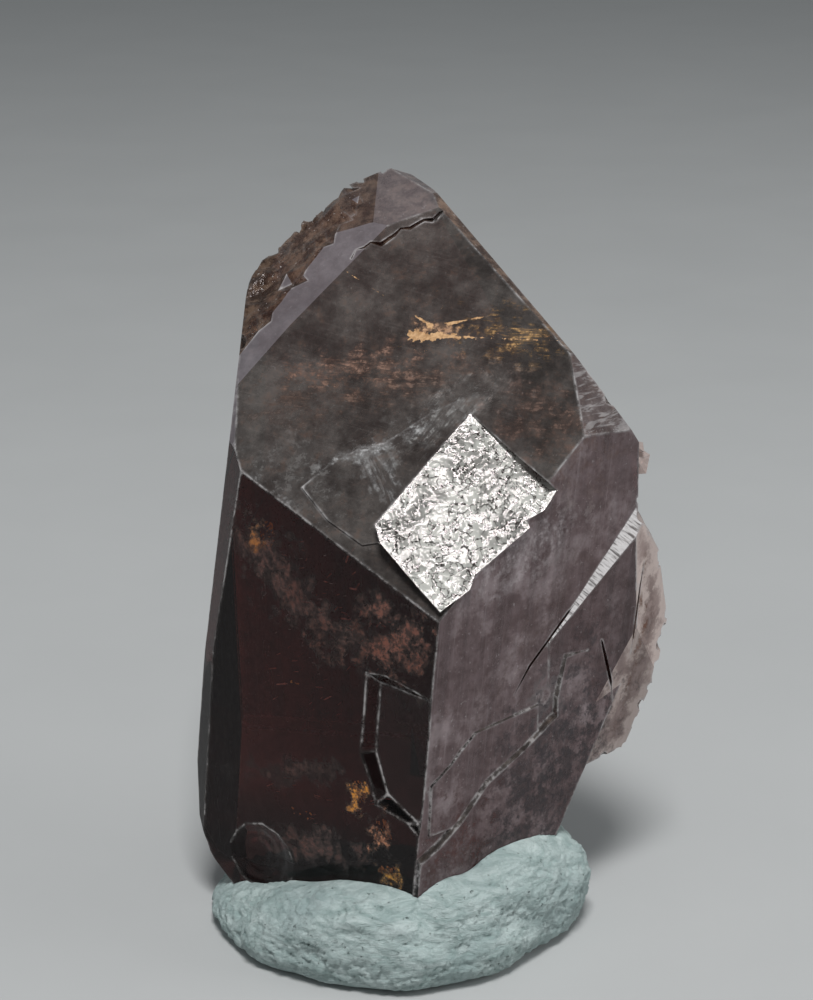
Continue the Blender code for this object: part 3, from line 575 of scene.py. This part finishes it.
def relief_tree():
    """Raises striations, crinkles, cross-striations, waves, breaks and ripples on the crystal."""
    inputs = {
        "Grain Height": "Float",
        "Foil Height": "Float",
        "Cross Height": "Float",
        "Wave Height": "Float",
        "Break Height": "Float",
        "Ripple Height": "Float",
        "Skin Height": "Float",
        "Chip Centre": "Vector",
        "Chip Reach": "Float",
        "Finish": "Material",
    }
    tree, source, target = node_tree("crystal_relief", inputs)
    given = source.outputs
    m = ReliefMaker(tree)
    place = m.place()
    along_keel = m.dot(place, tuple(KEEL))
    across = m.dot(place, ACROSS_KEEL)
    streaks = m.vector(across, m.times(along_keel, 0.02))
    coarse = m.noise(streaks, 1.1, 3.0, 0.75)
    grain = m.minus(coarse, 0.5)
    foil_lines = m.math("POWER", m.ridge(place, 0.52, 4.0, 0.60, 0.5), 12.0)
    foil_lines_small = m.math("POWER", m.ridge(place, 1.25, 3.0, 0.55, 0.3), 10.0)
    foil_swell = m.noise(place, 0.8, 3.0, 0.6)
    foil = m.total([
        m.times(foil_lines, -0.9),
        m.times(foil_lines_small, -0.45),
        m.times(foil_swell, 1.2),
    ])
    cross = m.minus(m.noise(m.vector(m.times(m.dot(place, DOWN_STRIP), 4.2)), 1.0, 2.0, 0.6), 0.5)
    wave_place = m.scaled(place, (0.35, 0.35, 2.4))
    wave = m.minus(m.ridge(wave_place, 0.8, 2.0, 0.5, 0.8), 0.5)
    broken = m.minus(m.noise(place, 1.5, 5.0, 0.62, 0.4), 0.5)
    skin = m.minus(m.noise(place, 0.45, 4.0, 0.6), 0.5)
    from_chip = {0: place, 1: given["Chip Centre"]}
    chip_distance = m.node("ShaderNodeVectorMath", from_chip, operation="DISTANCE").outputs["Value"]
    chip_near = m.ramp(m.math("DIVIDE", chip_distance, given["Chip Reach"]), 1.0, 0.7)
    ripple = m.times(m.math("SINE", m.times(chip_distance, 11.0)), chip_near)
    inset = m.ramp(m.named("gap"), 0.0, 0.35)
    narrow_inset = m.ramp(m.named("gap"), 0.0, 0.12)
    raised = m.total([
        m.times(grain, m.named("grain_lift"), given["Grain Height"]),
        m.times(foil, m.named("foil_lift"), given["Foil Height"]),
        m.times(wave, m.named("wave_lift"), given["Wave Height"]),
        m.times(broken, m.named("rough_lift"), given["Break Height"]),
        m.times(ripple, m.named("chip_lift"), given["Ripple Height"]),
        m.times(skin, m.named("haze_lift"), given["Skin Height"]),
    ])
    striae = m.times(cross, m.named("cross_lift"), given["Cross Height"])
    raised = m.plus(m.times(raised, inset), m.times(striae, narrow_inset))
    close_tree(m, m.raised(given["Geometry"], m.times(raised, MM)), source, target)
    return tree


def grow(obj, tree, values):
    """Runs a Geometry Nodes tree on the object and keeps the result as its plain mesh."""
    modifier = obj.modifiers.new(tree.name, "NODES")
    modifier.node_group = tree
    for item in tree.interface.items_tree:
        if item.item_type == "SOCKET" and item.in_out == "INPUT" and item.name in values:
            modifier[item.identifier] = values[item.name]
    graph = bpy.context.evaluated_depsgraph_get()
    made = bpy.data.meshes.new_from_object(obj.evaluated_get(graph), depsgraph=graph)
    obj.modifiers.clear()
    obj.data = made
    return obj


class FinishMaker(Maker):
    def attribute(self, name):
        return self.node("ShaderNodeAttribute", attribute_name=name).outputs["Fac"]

    def place(self):
        coordinates = self.node("ShaderNodeTexCoord").outputs["Object"]
        return self.scaled(coordinates, TO_MM)

    def blend(self, share, a, b):
        node = self.node("ShaderNodeMix", data_type="RGBA")
        for socket, value in zip((node.inputs[0], node.inputs[6], node.inputs[7]), (share, a, b)):
            if isinstance(value, bpy.types.NodeSocket):
                self.tree.links.new(value, socket)
            else:
                socket.default_value = value if socket == node.inputs[0] else (*value, 1.0)
        return node.outputs[2]

    def bump(self, height, distance, strength=1.0, normal=None):
        inputs = {"Height": height, "Distance": distance, "Strength": strength}
        if normal is not None:
            inputs["Normal"] = normal
        return self.node("ShaderNodeBump", inputs).outputs[0]


def new_material(name):
    material = bpy.data.materials.new(name)
    material.use_nodes = True
    material.node_tree.nodes.clear()
    m = FinishMaker(material.node_tree)
    output = m.node("ShaderNodeOutputMaterial")
    shader = m.node("ShaderNodeBsdfPrincipled")
    m.tree.links.new(shader.outputs[0], output.inputs["Surface"])
    return material, m, shader, output


def put(m, shader, values):
    """Sets or links the shader's sockets by name."""
    for key, value in values.items():
        if isinstance(value, bpy.types.NodeSocket):
            m.tree.links.new(value, shader.inputs[key])
        elif isinstance(value, tuple):
            shader.inputs[key].default_value = (*value, 1.0)
        else:
            shader.inputs[key].default_value = value


def face_axes(face):
    """Outward normal, level direction and upward direction of a named face."""
    normal = Vector(FACES[face][1]).normalized()
    side = Vector((0.0, 0.0, 1.0)).cross(normal).normalized()
    return normal, side, normal.cross(side)


def on_face(m, place, face, turn):
    """Position along a direction on the face, across it and through it."""
    normal, side, up = face_axes(face)
    cos, sin = math.cos(math.radians(turn)), math.sin(math.radians(turn))
    along = m.dot(place, tuple(side * cos + up * sin))
    across = m.dot(place, tuple(up * cos - side * sin))
    return m.vector(along, across, m.dot(place, tuple(normal)))


def gleam(m, place, fray, root, length, width, turn):
    """A long thin wedge on the roof: 1 inside, 0 outside, with a frayed border."""
    from_root = m.node("ShaderNodeVectorMath", {0: place, 1: root}, operation="SUBTRACT").outputs[0]
    lay = m.node("ShaderNodeSeparateXYZ", {0: on_face(m, from_root, "roof", turn)}).outputs
    along = m.plus(m.math("DIVIDE", lay[0], length), m.times(fray, 0.3))
    taper = m.ramp(along, 0.0, 1.0, width, 0.0, smooth=False)
    across = m.plus(m.unsigned(lay[1]), m.times(fray, width))
    inside = m.ramp(m.minus(taper, across), 0.0, 0.05)
    deep = m.ramp(m.unsigned(lay[2]), 0.8, 0.5)
    return m.times(inside, deep, m.ramp(along, 0.0, 0.04))


def in_cloud(m, place, face, centre, half, turn):
    """Distance from a cloud's centre: 1 on the border of its ellipse on the face."""
    normal, side, up = face_axes(face)
    cos, sin = math.cos(math.radians(turn)), math.sin(math.radians(turn))
    lay = Matrix((side * cos + up * sin, up * cos - side * sin, normal)).transposed()
    inputs = {"Vector": place, "Location": centre, "Rotation": lay.to_euler(), "Scale": (*half, CLOUD_DEPTH)}
    local = m.node("ShaderNodeMapping", inputs, vector_type="TEXTURE").outputs[0]
    return m.node("ShaderNodeVectorMath", {0: local}, operation="LENGTH").outputs["Value"]


def crystal_skin(m, place, milky, skin):
    """Adds the soft clouds, the painted shade at the right front's foot and the gold gleams to the milkiness
    and the colour of the skin.
    """
    ragged = m.ramp(m.noise(place, 1.1, 4.0, 0.72), 0.3, 0.7, 0.75, -0.45)
    speckled = m.ramp(m.noise(place, 3.2, 3.0, 0.75), 0.36, 0.62, 0.35, 1.04)
    clear, grain, pale = m.attribute("clear"), m.attribute("grain"), m.attribute("pale")
    shown_on = {
        "roof": m.minus(1.0, m.larger(clear, grain)),
        "left_front": clear,
        "right_front": grain,
        "fringe_upper": pale,
        "fringe_lower": pale,
    }
    drawn = {}
    for face, centre, half, turn, streaks, colour, density in CLOUDS_AND_SHADE:
        distance = m.plus(in_cloud(m, place, face, centre, half, turn), ragged)
        mask = m.times(m.ramp(distance, 1.0, 0.25, 0.0, density), speckled)
        mask = m.times(mask, shown_on[face])
        if streaks > STREAKY_FROM:
            lay = (face, round(turn / STREAK_TURN) * STREAK_TURN)
            if lay not in drawn:
                drawn[lay] = m.noise(m.scaled(on_face(m, place, *lay), (0.5, 2.8, 1.0)), 1.6, 2.0, 0.7)
            mask = m.times(mask, m.ramp(drawn[lay], 0.38, 0.60, 1.0 - streaks, 1.0))
        skin = m.blend(mask, skin, colour)
        milky = m.larger(milky, mask)
    fray = m.ramp(m.noise(place, 2.6, 3.0, 0.7), 0.3, 0.7, -0.35, 0.35, smooth=False)
    for root, length, width, turn in GLEAMS:
        mask = m.times(gleam(m, place, fray, root, length, width, turn), 0.95)
        skin = m.blend(mask, skin, m.blend(speckled, GLEAM_SHADE, GLEAM_COLOUR))
        milky = m.larger(milky, mask)
    return milky, skin


def axinite_finish():
    """Clear clove-brown crystal with a cloudy, striated or broken skin where the faces show one, with
    painted highlights and glints, a painted silver reflection on the plateau and painted shade in its
    creases and at the right front's foot.
    """
    material, m, shader, output = new_material("clear_axinite")
    place = m.place()
    haze, grain, foil = m.attribute("haze"), m.attribute("grain"), m.attribute("foil")
    rough, pale, cross = m.attribute("rough"), m.attribute("pale"), m.attribute("cross")
    strip, gap = m.attribute("strip"), m.attribute("gap")
    along_keel = m.dot(place, tuple(KEEL))
    across = m.dot(place, ACROSS_KEEL)
    streaks = m.vector(across, m.times(along_keel, 0.03))
    fine_grain = m.noise(streaks, 4.5, 4.0, 0.7)
    broad_grain = m.noise(streaks, 1.3, 3.0, 0.6)
    cloud = m.noise(place, 0.34, 5.0, 0.70)
    scratches = m.noise(m.scaled(on_face(m, place, "roof", -12.0), (0.30, 6.0, 1.0)), 1.3, 3.0, 0.7)
    mottle = m.noise(place, 1.4, 4.0, 0.72)
    specks = m.ramp(m.noise(place, 5.0, 3.0, 0.7), 0.62, 0.72)

    cloudy = m.times(haze, m.ramp(cloud, 0.30, 0.70, 0.72, 1.18))
    cloudy = m.times(cloudy, m.ramp(mottle, 0.30, 0.70, 0.70, 1.15))
    milky = m.total([
        m.times(cloudy, 0.80),
        m.times(grain, m.ramp(broad_grain, 0.35, 0.65, 0.16, 0.34)),
        m.times(pale, 0.55),
        m.times(strip, 0.25),
    ])
    brown = m.blend(m.ramp(cloud, 0.35, 0.65), (0.098, 0.084, 0.078), (0.168, 0.150, 0.140))
    brown = m.blend(m.ramp(mottle, 0.52, 0.75, 0.0, 0.6), brown, (0.190, 0.120, 0.092))
    brown = m.blend(m.ramp(scratches, 0.52, 0.68, 0.0, 0.25), brown, (0.240, 0.210, 0.195))
    purple = m.blend(m.ramp(mottle, 0.35, 0.65), (0.245, 0.180, 0.186), (0.135, 0.092, 0.093))
    purple = m.blend(m.ramp(fine_grain, 0.54, 0.76, 0.0, 0.40), purple, (0.400, 0.335, 0.350))
    purple = m.blend(m.ramp(cloud, 0.48, 0.68, 0.0, 0.75), purple, (0.400, 0.330, 0.340))
    purple = m.blend(m.times(specks, 0.35), purple, (0.620, 0.570, 0.580))
    skin = m.blend(grain, brown, purple)
    veins = m.noise(place, 0.9, 5.0, 0.75)
    beige = m.blend(m.ramp(veins, 0.38, 0.62), (0.190, 0.120, 0.105), (0.460, 0.345, 0.320))
    outer = m.ramp(m.plus(gap, m.ramp(veins, 0.3, 0.7, -0.5, 0.5)), 0.9, 0.2)
    beige = m.blend(outer, beige, (0.80, 0.66, 0.61))
    skin = m.blend(pale, skin, beige)
    amber = m.blend(m.ramp(mottle, 0.40, 0.60), (0.110, 0.062, 0.042), (0.330, 0.215, 0.150))
    skin = m.blend(m.times(rough, m.minus(1.0, pale)), skin, amber)
    skin = m.blend(m.times(strip, 0.8), skin, (0.250, 0.225, 0.245))
    milky, skin = crystal_skin(m, place, milky, skin)

    # Painted reflection on the crinkled plateau: pale silver stands in for the key light mirrored there, and
    # the dark lines along the creases are painted shade.
    creases = m.unsigned(m.minus(m.noise(place, 0.60, 4.0, 0.62), 0.5))
    small = m.unsigned(m.minus(m.noise(place, 1.60, 3.0, 0.60), 0.5))
    creases = m.smaller(creases, small)
    patches = m.ramp(m.noise(place, 0.45, 3.0, 0.65), 0.36, 0.56, 0.45, 1.0)
    painted_silver_reflection = m.times(m.ramp(creases, 0.0, 0.016, 0.22, 0.68), patches)
    skin = m.blend(foil, skin, m.blend(m.ramp(creases, 0.0, 0.018), (0.15, 0.13, 0.12), (0.72, 0.72, 0.67)))
    milky = m.larger(milky, m.times(foil, painted_silver_reflection))
    ripples = m.noise(m.scaled(place, (0.5, 0.5, 3.2)), 1.5, 3.0, 0.65, 0.7)
    wavy = m.times(m.attribute("wave"), m.ramp(ripples, 0.48, 0.60, 0.0, 0.45))

    # Painted highlights: a pale rim along the sharp edges, glints on broken and cloudy skin and the lit
    # striae of the strip are painted pale grey and made milky.
    rim = m.times(m.ramp(gap, 0.13, 0.0), m.ramp(veins, 0.40, 0.62, 0.10, 1.0))
    without_edge_highlight = m.larger(foil, m.times(rough, 0.75))
    rim = m.times(rim, m.minus(1.0, without_edge_highlight))
    painted_glints = m.times(specks, m.larger(rough, m.times(haze, 0.35)))
    down_strip = m.times(m.dot(place, DOWN_STRIP), 9.0)
    over_strip = m.times(m.dot(place, OVER_STRIP), 0.9)
    strip_noise = m.noise(m.vector(down_strip, over_strip), 1.0, 3.0, 0.6)
    painted_striae_highlight = m.times(cross, m.ramp(strip_noise, 0.34, 0.54, 0.40, 0.95))
    # light gathers these painted highlights, and also lightens the shoulder's wavy lines with the same pale
    # grey.
    light = m.larger(m.times(rim, 0.75), m.times(painted_glints, 0.8))
    light = m.larger(light, m.larger(painted_striae_highlight, wavy))
    skin = m.blend(light, skin, (0.66, 0.64, 0.64))
    milky = m.smaller(m.larger(milky, light), 0.96)
    clear_share = m.minus(1.0, milky)

    height = m.total([
        m.times(m.noise(streaks, 4.5, 2.0, 0.7), grain, 0.30),
        m.times(m.noise(place, 1.8, 3.0, 0.65), foil, 0.55),
        m.times(m.noise(place, 3.5, 3.0, 0.7), rough, 1.2),
        m.times(m.noise(place, 4.0, 2.0, 0.7), cross, 0.8),
    ])
    gloss = m.total([
        m.times(haze, 0.10),
        m.times(grain, 0.08),
        m.times(pale, 0.25),
        m.times(rough, 0.08),
        m.times(cloud, 0.04),
    ])
    put(m, shader, {
        "Base Color": m.blend(m.ramp(milky, 0.0, 0.05), (0.86, 0.80, 0.78), skin),
        "Roughness": m.larger(gloss, 0.02),
        "Transmission Weight": clear_share,
        "IOR": 1.68,
        "Specular IOR Level": 0.32,
        "Specular Tint": (0.32, 0.29, 0.29),
        "Normal": m.bump(height, 0.00006),
    })
    absorb = m.node("ShaderNodeVolumeAbsorption")
    absorb.inputs["Color"].default_value = (0.58, 0.20, 0.16, 1.0)
    absorb.inputs["Density"].default_value = 500.0
    m.tree.links.new(absorb.outputs[0], output.inputs["Volume"])
    return material


def putty_finish():
    """Matte pale blue-green putty with fibrous streaks, smears and small pits painted dark as shade."""
    material, m, shader, _ = new_material("mineral_putty")
    place = m.place()
    fibres = m.noise(m.scaled(place, (0.55, 0.80, 1.90)), 1.1, 9.0, 0.75, 0.9)
    smears = m.noise(place, 0.22, 4.0, 0.6)
    tone = m.blend(m.ramp(fibres, 0.3, 0.7), (0.330, 0.440, 0.425), (0.660, 0.765, 0.750))
    tone = m.blend(m.ramp(smears, 0.45, 0.75, 0.0, 0.55), tone, (0.330, 0.430, 0.430))
    pits = m.ramp(m.noise(place, 3.5, 3.0, 0.6), 0.66, 0.74)
    # Painted shade: the pits are darkened as if shadowed.
    tone = m.blend(m.times(pits, 0.7), tone, (0.10, 0.13, 0.125))
    crumbs = m.noise(m.scaled(place, (0.7, 0.9, 1.8)), 2.6, 8.0, 0.75)
    height = m.minus(crumbs, m.times(pits, 0.5))
    put(m, shader, {
        "Base Color": tone,
        "Roughness": m.ramp(fibres, 0.3, 0.7, 0.72, 0.90),
        "IOR": 1.45,
        "Normal": m.bump(height, 0.00022),
    })
    return material


def floor_finish():
    """Plain pale matte floor with a very faint mottle."""
    material, m, shader, _ = new_material("pale_floor")
    place = m.place()
    mottle = m.noise(place, 0.05, 6.0, 0.6)
    put(m, shader, {
        "Base Color": m.blend(mottle, (0.46, 0.47, 0.47), (0.50, 0.51, 0.51)),
        "Roughness": m.ramp(mottle, 0.3, 0.7, 0.75, 0.85),
    })
    return material


def fine_tack():
    """The lump remeshed evenly, before it is pressed to the crystal's foot and kneaded."""
    bm = merged_copy("mineral_tack")
    mesh = bpy.data.meshes.new("kneaded_tack")
    bm.to_mesh(mesh)
    bm.free()
    tack = new_object("kneaded_tack", mesh)
    remesh = tack.modifiers.new("even", "REMESH")
    remesh.mode = "VOXEL"
    remesh.voxel_size = FINE_TACK * MM
    smooth = tack.modifiers.new("soften", "SMOOTH")
    smooth.iterations = TACK_SMOOTHINGS
    graph = bpy.context.evaluated_depsgraph_get()
    made = bpy.data.meshes.new_from_object(tack.evaluated_get(graph), depsgraph=graph)
    tack.modifiers.clear()
    tack.data = made
    return tack


def tack_tree():
    """Fibrous folds, dimples and pits of kneaded putty; the flat underside is left alone."""
    inputs = {
        "Fold Height": "Float",
        "Fibre Height": "Float",
        "Pit Depth": "Float",
        "Finish": "Material",
    }
    tree, source, target = node_tree("kneading", inputs)
    given = source.outputs
    m = ReliefMaker(tree)
    place = m.place()
    folds = m.minus(m.noise(m.scaled(place, (0.6, 0.8, 1.2)), 0.40, 3.0, 0.5, 0.3), 0.5)
    fibre_place = m.scaled(place, (0.75, 0.95, 1.90))
    fibres = m.minus(m.math("POWER", m.ridge(fibre_place, 1.0, 6.0, 0.68, 0.9), 3.0), 0.6)
    pits = m.ramp(m.noise(place, 1.3, 3.0, 0.6), 0.62, 0.76)
    height = m.total([
        m.times(folds, given["Fold Height"]),
        m.times(fibres, given["Fibre Height"]),
        m.times(pits, -1.0, given["Pit Depth"]),
    ])
    up = m.node("ShaderNodeSeparateXYZ", {0: place}).outputs[2]
    free = m.times(m.ramp(up, 0.05, 0.5), m.named("free"))
    moved = m.raised(given["Geometry"], m.times(height, free, MM))
    smooth = m.node("GeometryNodeSetShadeSmooth", {"Geometry": moved}).outputs[0]
    close_tree(m, smooth, source, target)
    return tree


def flake_tree():
    """A patch of thin flakes lying about the XY plane, some turned up a little; millimetres."""
    inputs = {
        "Count": "Int",
        "Half Size": "Vector",
        "Depth": "Float",
        "Longest": "Float",
        "Shortest": "Float",
        "Slenderness": "Float",
        "Thinness": "Float",
        "Turn": "Float",
        "Turn Spread": "Float",
        "Tilt": "Float",
        "Seed": "Int",
        "Finish": "Material",
    }
    tree, source, target = node_tree("flakes", inputs)
    m = Maker(tree)
    given = source.outputs

    def spread(low, high, seed):
        index = m.node("GeometryNodeInputIndex").outputs[0]
        node = m.node("FunctionNodeRandomValue", {"ID": index}, data_type="FLOAT")
        tree.links.new(m.plus(given["Seed"], seed), node.inputs["Seed"])
        for key, value in ((2, low), (3, high)):
            if isinstance(value, bpy.types.NodeSocket):
                tree.links.new(value, node.inputs[key])
            else:
                node.inputs[key].default_value = value
        return node.outputs[1]

    half = m.node("ShaderNodeSeparateXYZ", {0: given["Half Size"]}).outputs
    angle = spread(0.0, 2.0 * math.pi, 1.0)
    reach = m.math("SQRT", spread(0.0, 1.0, 2.0))
    place = m.vector(
        m.times(half[0], reach, m.math("COSINE", angle)),
        m.times(half[1], reach, m.math("SINE", angle)),
        m.times(spread(-1.0, 0.0, 3.0), given["Depth"]),
    )
    points = m.node("GeometryNodePoints", {"Count": given["Count"], "Position": place}).outputs[0]
    lump = m.node("GeometryNodeMeshIcoSphere", {"Radius": 0.5, "Subdivisions": 1}).outputs[0]
    on_lump = m.node("GeometryNodeInputPosition").outputs[0]
    shake = m.node("ShaderNodeTexNoise", {"Vector": on_lump, "Scale": 2.3}).outputs["Color"]
    jagged = m.node("ShaderNodeVectorMath", {0: shake, 1: (0.5, 0.5, 0.5)}, operation="SUBTRACT")
    lump = m.node("GeometryNodeSetPosition", {"Geometry": lump, "Offset": jagged.outputs[0]}).outputs[0]
    turn = m.plus(given["Turn"], m.times(spread(-1.0, 1.0, 4.0), given["Turn Spread"]))
    turned = m.vector(
        m.times(spread(-1.0, 1.0, 5.0), given["Tilt"]),
        m.times(spread(-1.0, 1.0, 6.0), given["Tilt"]),
        turn,
    )
    length = spread(given["Shortest"], given["Longest"], 7.0)
    length = m.times(length, spread(0.45, 1.0, 8.0))
    size = m.vector(length, m.times(length, given["Slenderness"]), m.times(length, given["Thinness"]))
    inputs = {"Points": points, "Instance": lump, "Rotation": turned, "Scale": size}
    placed = m.node("GeometryNodeInstanceOnPoints", inputs)
    close_tree(m, placed.outputs[0], source, target)
    return tree


def flakes_kept(mesh, surface):
    """Points and faces of the flakes that lie wholly inside the crystal."""
    count = FLAKE_POINTS
    points = [vert.co.copy() for vert in mesh.vertices]
    faces = [tuple(face.vertices) for face in mesh.polygons]
    inside = []
    for first in range(0, len(points), count):
        kept = True
        for point in points[first : first + count]:
            place, normal, _, _ = surface.find_nearest(point)
            kept = kept and (point - place).dot(normal) < -FLAKE_CLEARANCE * MM
        inside.append(kept)
    new_index = {}
    for index in range(len(points)):
        if inside[index // count]:
            new_index[index] = len(new_index)
    kept_faces = [tuple(new_index[i] for i in face) for face in faces if inside[face[0] // count]]
    return [points[i] for i in new_index], kept_faces


def make_inside(name, patches, tree, finish, surface):
    """All flakes of one finish, each patch laid under its face."""
    all_points, all_faces = [], []
    for seed, patch in enumerate(patches):
        face, centre, half, depth, count, sizes, slender, turn, turn_spread = patch
        holder = new_object(name + "_patch", bpy.data.meshes.new(name + "_patch"))
        grow(holder, tree, {
            "Count": count,
            "Half Size": (half[0], half[1], 0.0),
            "Depth": depth[1] - depth[0],
            "Longest": sizes[0],
            "Shortest": sizes[1],
            "Slenderness": slender,
            "Thinness": FLAKE_THINNESS,
            "Turn": math.radians(turn),
            "Turn Spread": math.radians(turn_spread),
            "Tilt": math.radians(FLAKE_TILT_DEGREES),
            "Seed": seed * 31 + len(name),
            "Finish": finish,
        })
        normal, side, up = face_axes(face)
        frame_of_face = Matrix((side, up, normal)).transposed().to_4x4()
        deep = Vector(centre) - normal * depth[0]
        placed = Matrix.Scale(MM, 4) @ Matrix.Translation(deep) @ frame_of_face
        holder.data.transform(placed)
        points, faces = flakes_kept(holder.data, surface)
        all_faces += [tuple(i + len(all_points) for i in face) for face in faces]
        all_points += points
        bpy.data.objects.remove(holder, do_unlink=True)
    mesh = bpy.data.meshes.new(name)
    mesh.from_pydata(all_points, [], all_faces)
    mesh.materials.append(finish)
    piece = new_object(name, mesh)
    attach(piece, "root")
    return piece


def flake_finish(name, dark, light, roughness, metallic=0.0):
    """A flake's mineral colour, mottled, with a little gloss."""
    material, m, shader, _ = new_material(name)
    place = m.place()
    mottle = m.noise(place, 1.8, 4.0, 0.7)
    put(m, shader, {
        "Base Color": m.blend(m.ramp(mottle, 0.35, 0.65), dark, light),
        "Roughness": m.ramp(mottle, 0.3, 0.7, roughness, roughness + 0.15),
        "Metallic": metallic,
        "Normal": m.bump(m.noise(place, 6.0, 3.0, 0.6), 0.00003),
    })
    return material


def surface_of(obj):
    bm = bmesh.new()
    bm.from_mesh(obj.data)
    surface = BVHTree.FromBMesh(bm)
    bm.free()
    return surface


def press_to_crystal(tack, crystal):
    """Draws the socket's wall and rim up to the crystal, and marks how free each point is."""
    surface = surface_of(crystal)
    free = np.ones(len(tack.data.vertices), np.float32)
    for vert in tack.data.vertices:
        if vert.co.z < UNDERSIDE * MM:
            continue
        place, normal, _, distance = surface.find_nearest(vert.co, TACK_NEAR * MM)
        if place is None:
            continue
        reach = distance / MM
        away = (vert.co - place).normalized()
        if away.dot(normal) < 0.0:
            away = normal
        beyond = max(0.0, reach - TACK_PRESSED)
        if reach < TACK_DRAWN:
            blend = 1.0 - beyond / (TACK_DRAWN - TACK_PRESSED)
            vert.co = vert.co.lerp(place + away * (TACK_GAP + beyond) * MM, blend)
        free[vert.index] = min(1.0, max(0.0, (reach - TACK_STILL) / (TACK_FREE - TACK_STILL)))
    tack.data.attributes.new("free", "FLOAT", "POINT").data.foreach_set("value", free)


def keep_in_box(obj, box):
    """Moves any point that the relief has pushed out of the part's box back to its side."""
    points = np.empty(len(obj.data.vertices) * 3)
    obj.data.vertices.foreach_get("co", points)
    points = np.clip(points.reshape(-1, 3), box[0], box[1])
    obj.data.vertices.foreach_set("co", points.ravel())
    obj.data.update()


def make_floor(material):
    mesh = bpy.data.meshes.new("floor")
    bm = bmesh.new()
    bmesh.ops.create_circle(bm, cap_ends=True, segments=96, radius=1.2)
    bm.to_mesh(mesh)
    bm.free()
    floor = new_object("floor", mesh)
    floor.data.materials.append(material)


def aim(obj, target):
    obj.rotation_euler = (mm(target) - obj.location).to_track_quat("-Z", "Y").to_euler()


def soft_light(name, place, target, width, height, power):
    lamp = bpy.data.lights.new(name, "AREA")
    lamp.shape = "RECTANGLE"
    lamp.size, lamp.size_y = width * MM, height * MM
    lamp.energy = power
    obj = new_object(name, lamp)
    obj.location = mm(place)
    aim(obj, target)


def make_lights():
    soft_light("key", (3.0, -147.0, 355.0), (2.0, -6.0, 22.0), width=100.0, height=84.0, power=1.10)
    soft_light("side", (330.0, -60.0, 160.0), (0.0, 0.0, 16.0), width=160.0, height=160.0, power=0.26)
    world = bpy.data.worlds.new("soft_room")
    world.use_nodes = True
    background = world.node_tree.nodes["Background"]
    background.inputs["Color"].default_value = (0.92, 0.97, 1.0, 1.0)
    background.inputs["Strength"].default_value = 0.22
    bpy.context.scene.world = world


def make_camera():
    camera = bpy.data.cameras.new("camera")
    camera.sensor_fit = "VERTICAL"
    camera.sensor_height = SENSOR_HEIGHT
    camera.lens = LENS
    camera.clip_start = 0.001
    obj = new_object("camera", camera)
    down = math.radians(LOOK_DOWN_DEGREES)
    sight = Vector((0.0, math.cos(down), -math.sin(down)))
    obj.location = mm(LOOK_AT) - sight * CAMERA_DISTANCE * MM
    obj.rotation_euler = sight.to_track_quat("-Z", "Y").to_euler()
    bpy.context.scene.camera = obj


def render_choices():
    scene = bpy.context.scene
    scene.view_settings.view_transform = "Standard"
    scene.cycles.max_bounces = 8
    scene.cycles.transmission_bounces = 7
    scene.cycles.glossy_bounces = 3
    scene.cycles.sample_clamp_indirect = 4.0
    scene.cycles.use_denoising = True


crystal = fine_crystal()
grow(crystal, relief_tree(), {
    "Grain Height": 0.055,
    "Foil Height": 0.055,
    "Cross Height": 0.11,
    "Wave Height": 0.10,
    "Break Height": 0.22,
    "Ripple Height": 0.012,
    "Skin Height": 0.035,
    "Chip Centre": CHIP_CENTRE,
    "Chip Reach": CHIP_REACH,
    "Finish": axinite_finish(),
})
keep_in_box(crystal, cad_box)
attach(crystal, "root")
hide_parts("crystal")

inside_finishes = {
    "gold_flecks": flake_finish("gold_fleck", (0.42, 0.24, 0.10), (0.95, 0.70, 0.42), 0.30, metallic=0.4),
    "brown_wisps": flake_finish("brown_wisp", (0.26, 0.15, 0.10), (0.62, 0.42, 0.33), 0.45),
    "red_veils": flake_finish("red_veil", (0.30, 0.10, 0.08), (0.70, 0.34, 0.28), 0.40),
    "orange_stains": flake_finish("orange_stain", (0.42, 0.12, 0.02), (0.95, 0.42, 0.10), 0.40),
    "grey_wisps": flake_finish("grey_wisp", (0.30, 0.30, 0.30), (0.72, 0.73, 0.74), 0.35),
}
crystal_surface = surface_of(crystal)
flakes = flake_tree()
for name, patches in INSIDE.items():
    make_inside(name, patches, flakes, inside_finishes[name], crystal_surface)

tack = fine_tack()
press_to_crystal(tack, crystal)
grow(tack, tack_tree(), {
    "Fold Height": 1.30,
    "Fibre Height": 0.30,
    "Pit Depth": 0.22,
    "Finish": putty_finish(),
})
keep_in_box(tack, cad_box)
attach(tack, "root")
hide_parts("mineral_tack")

make_floor(floor_finish())
make_lights()
make_camera()
render_choices()
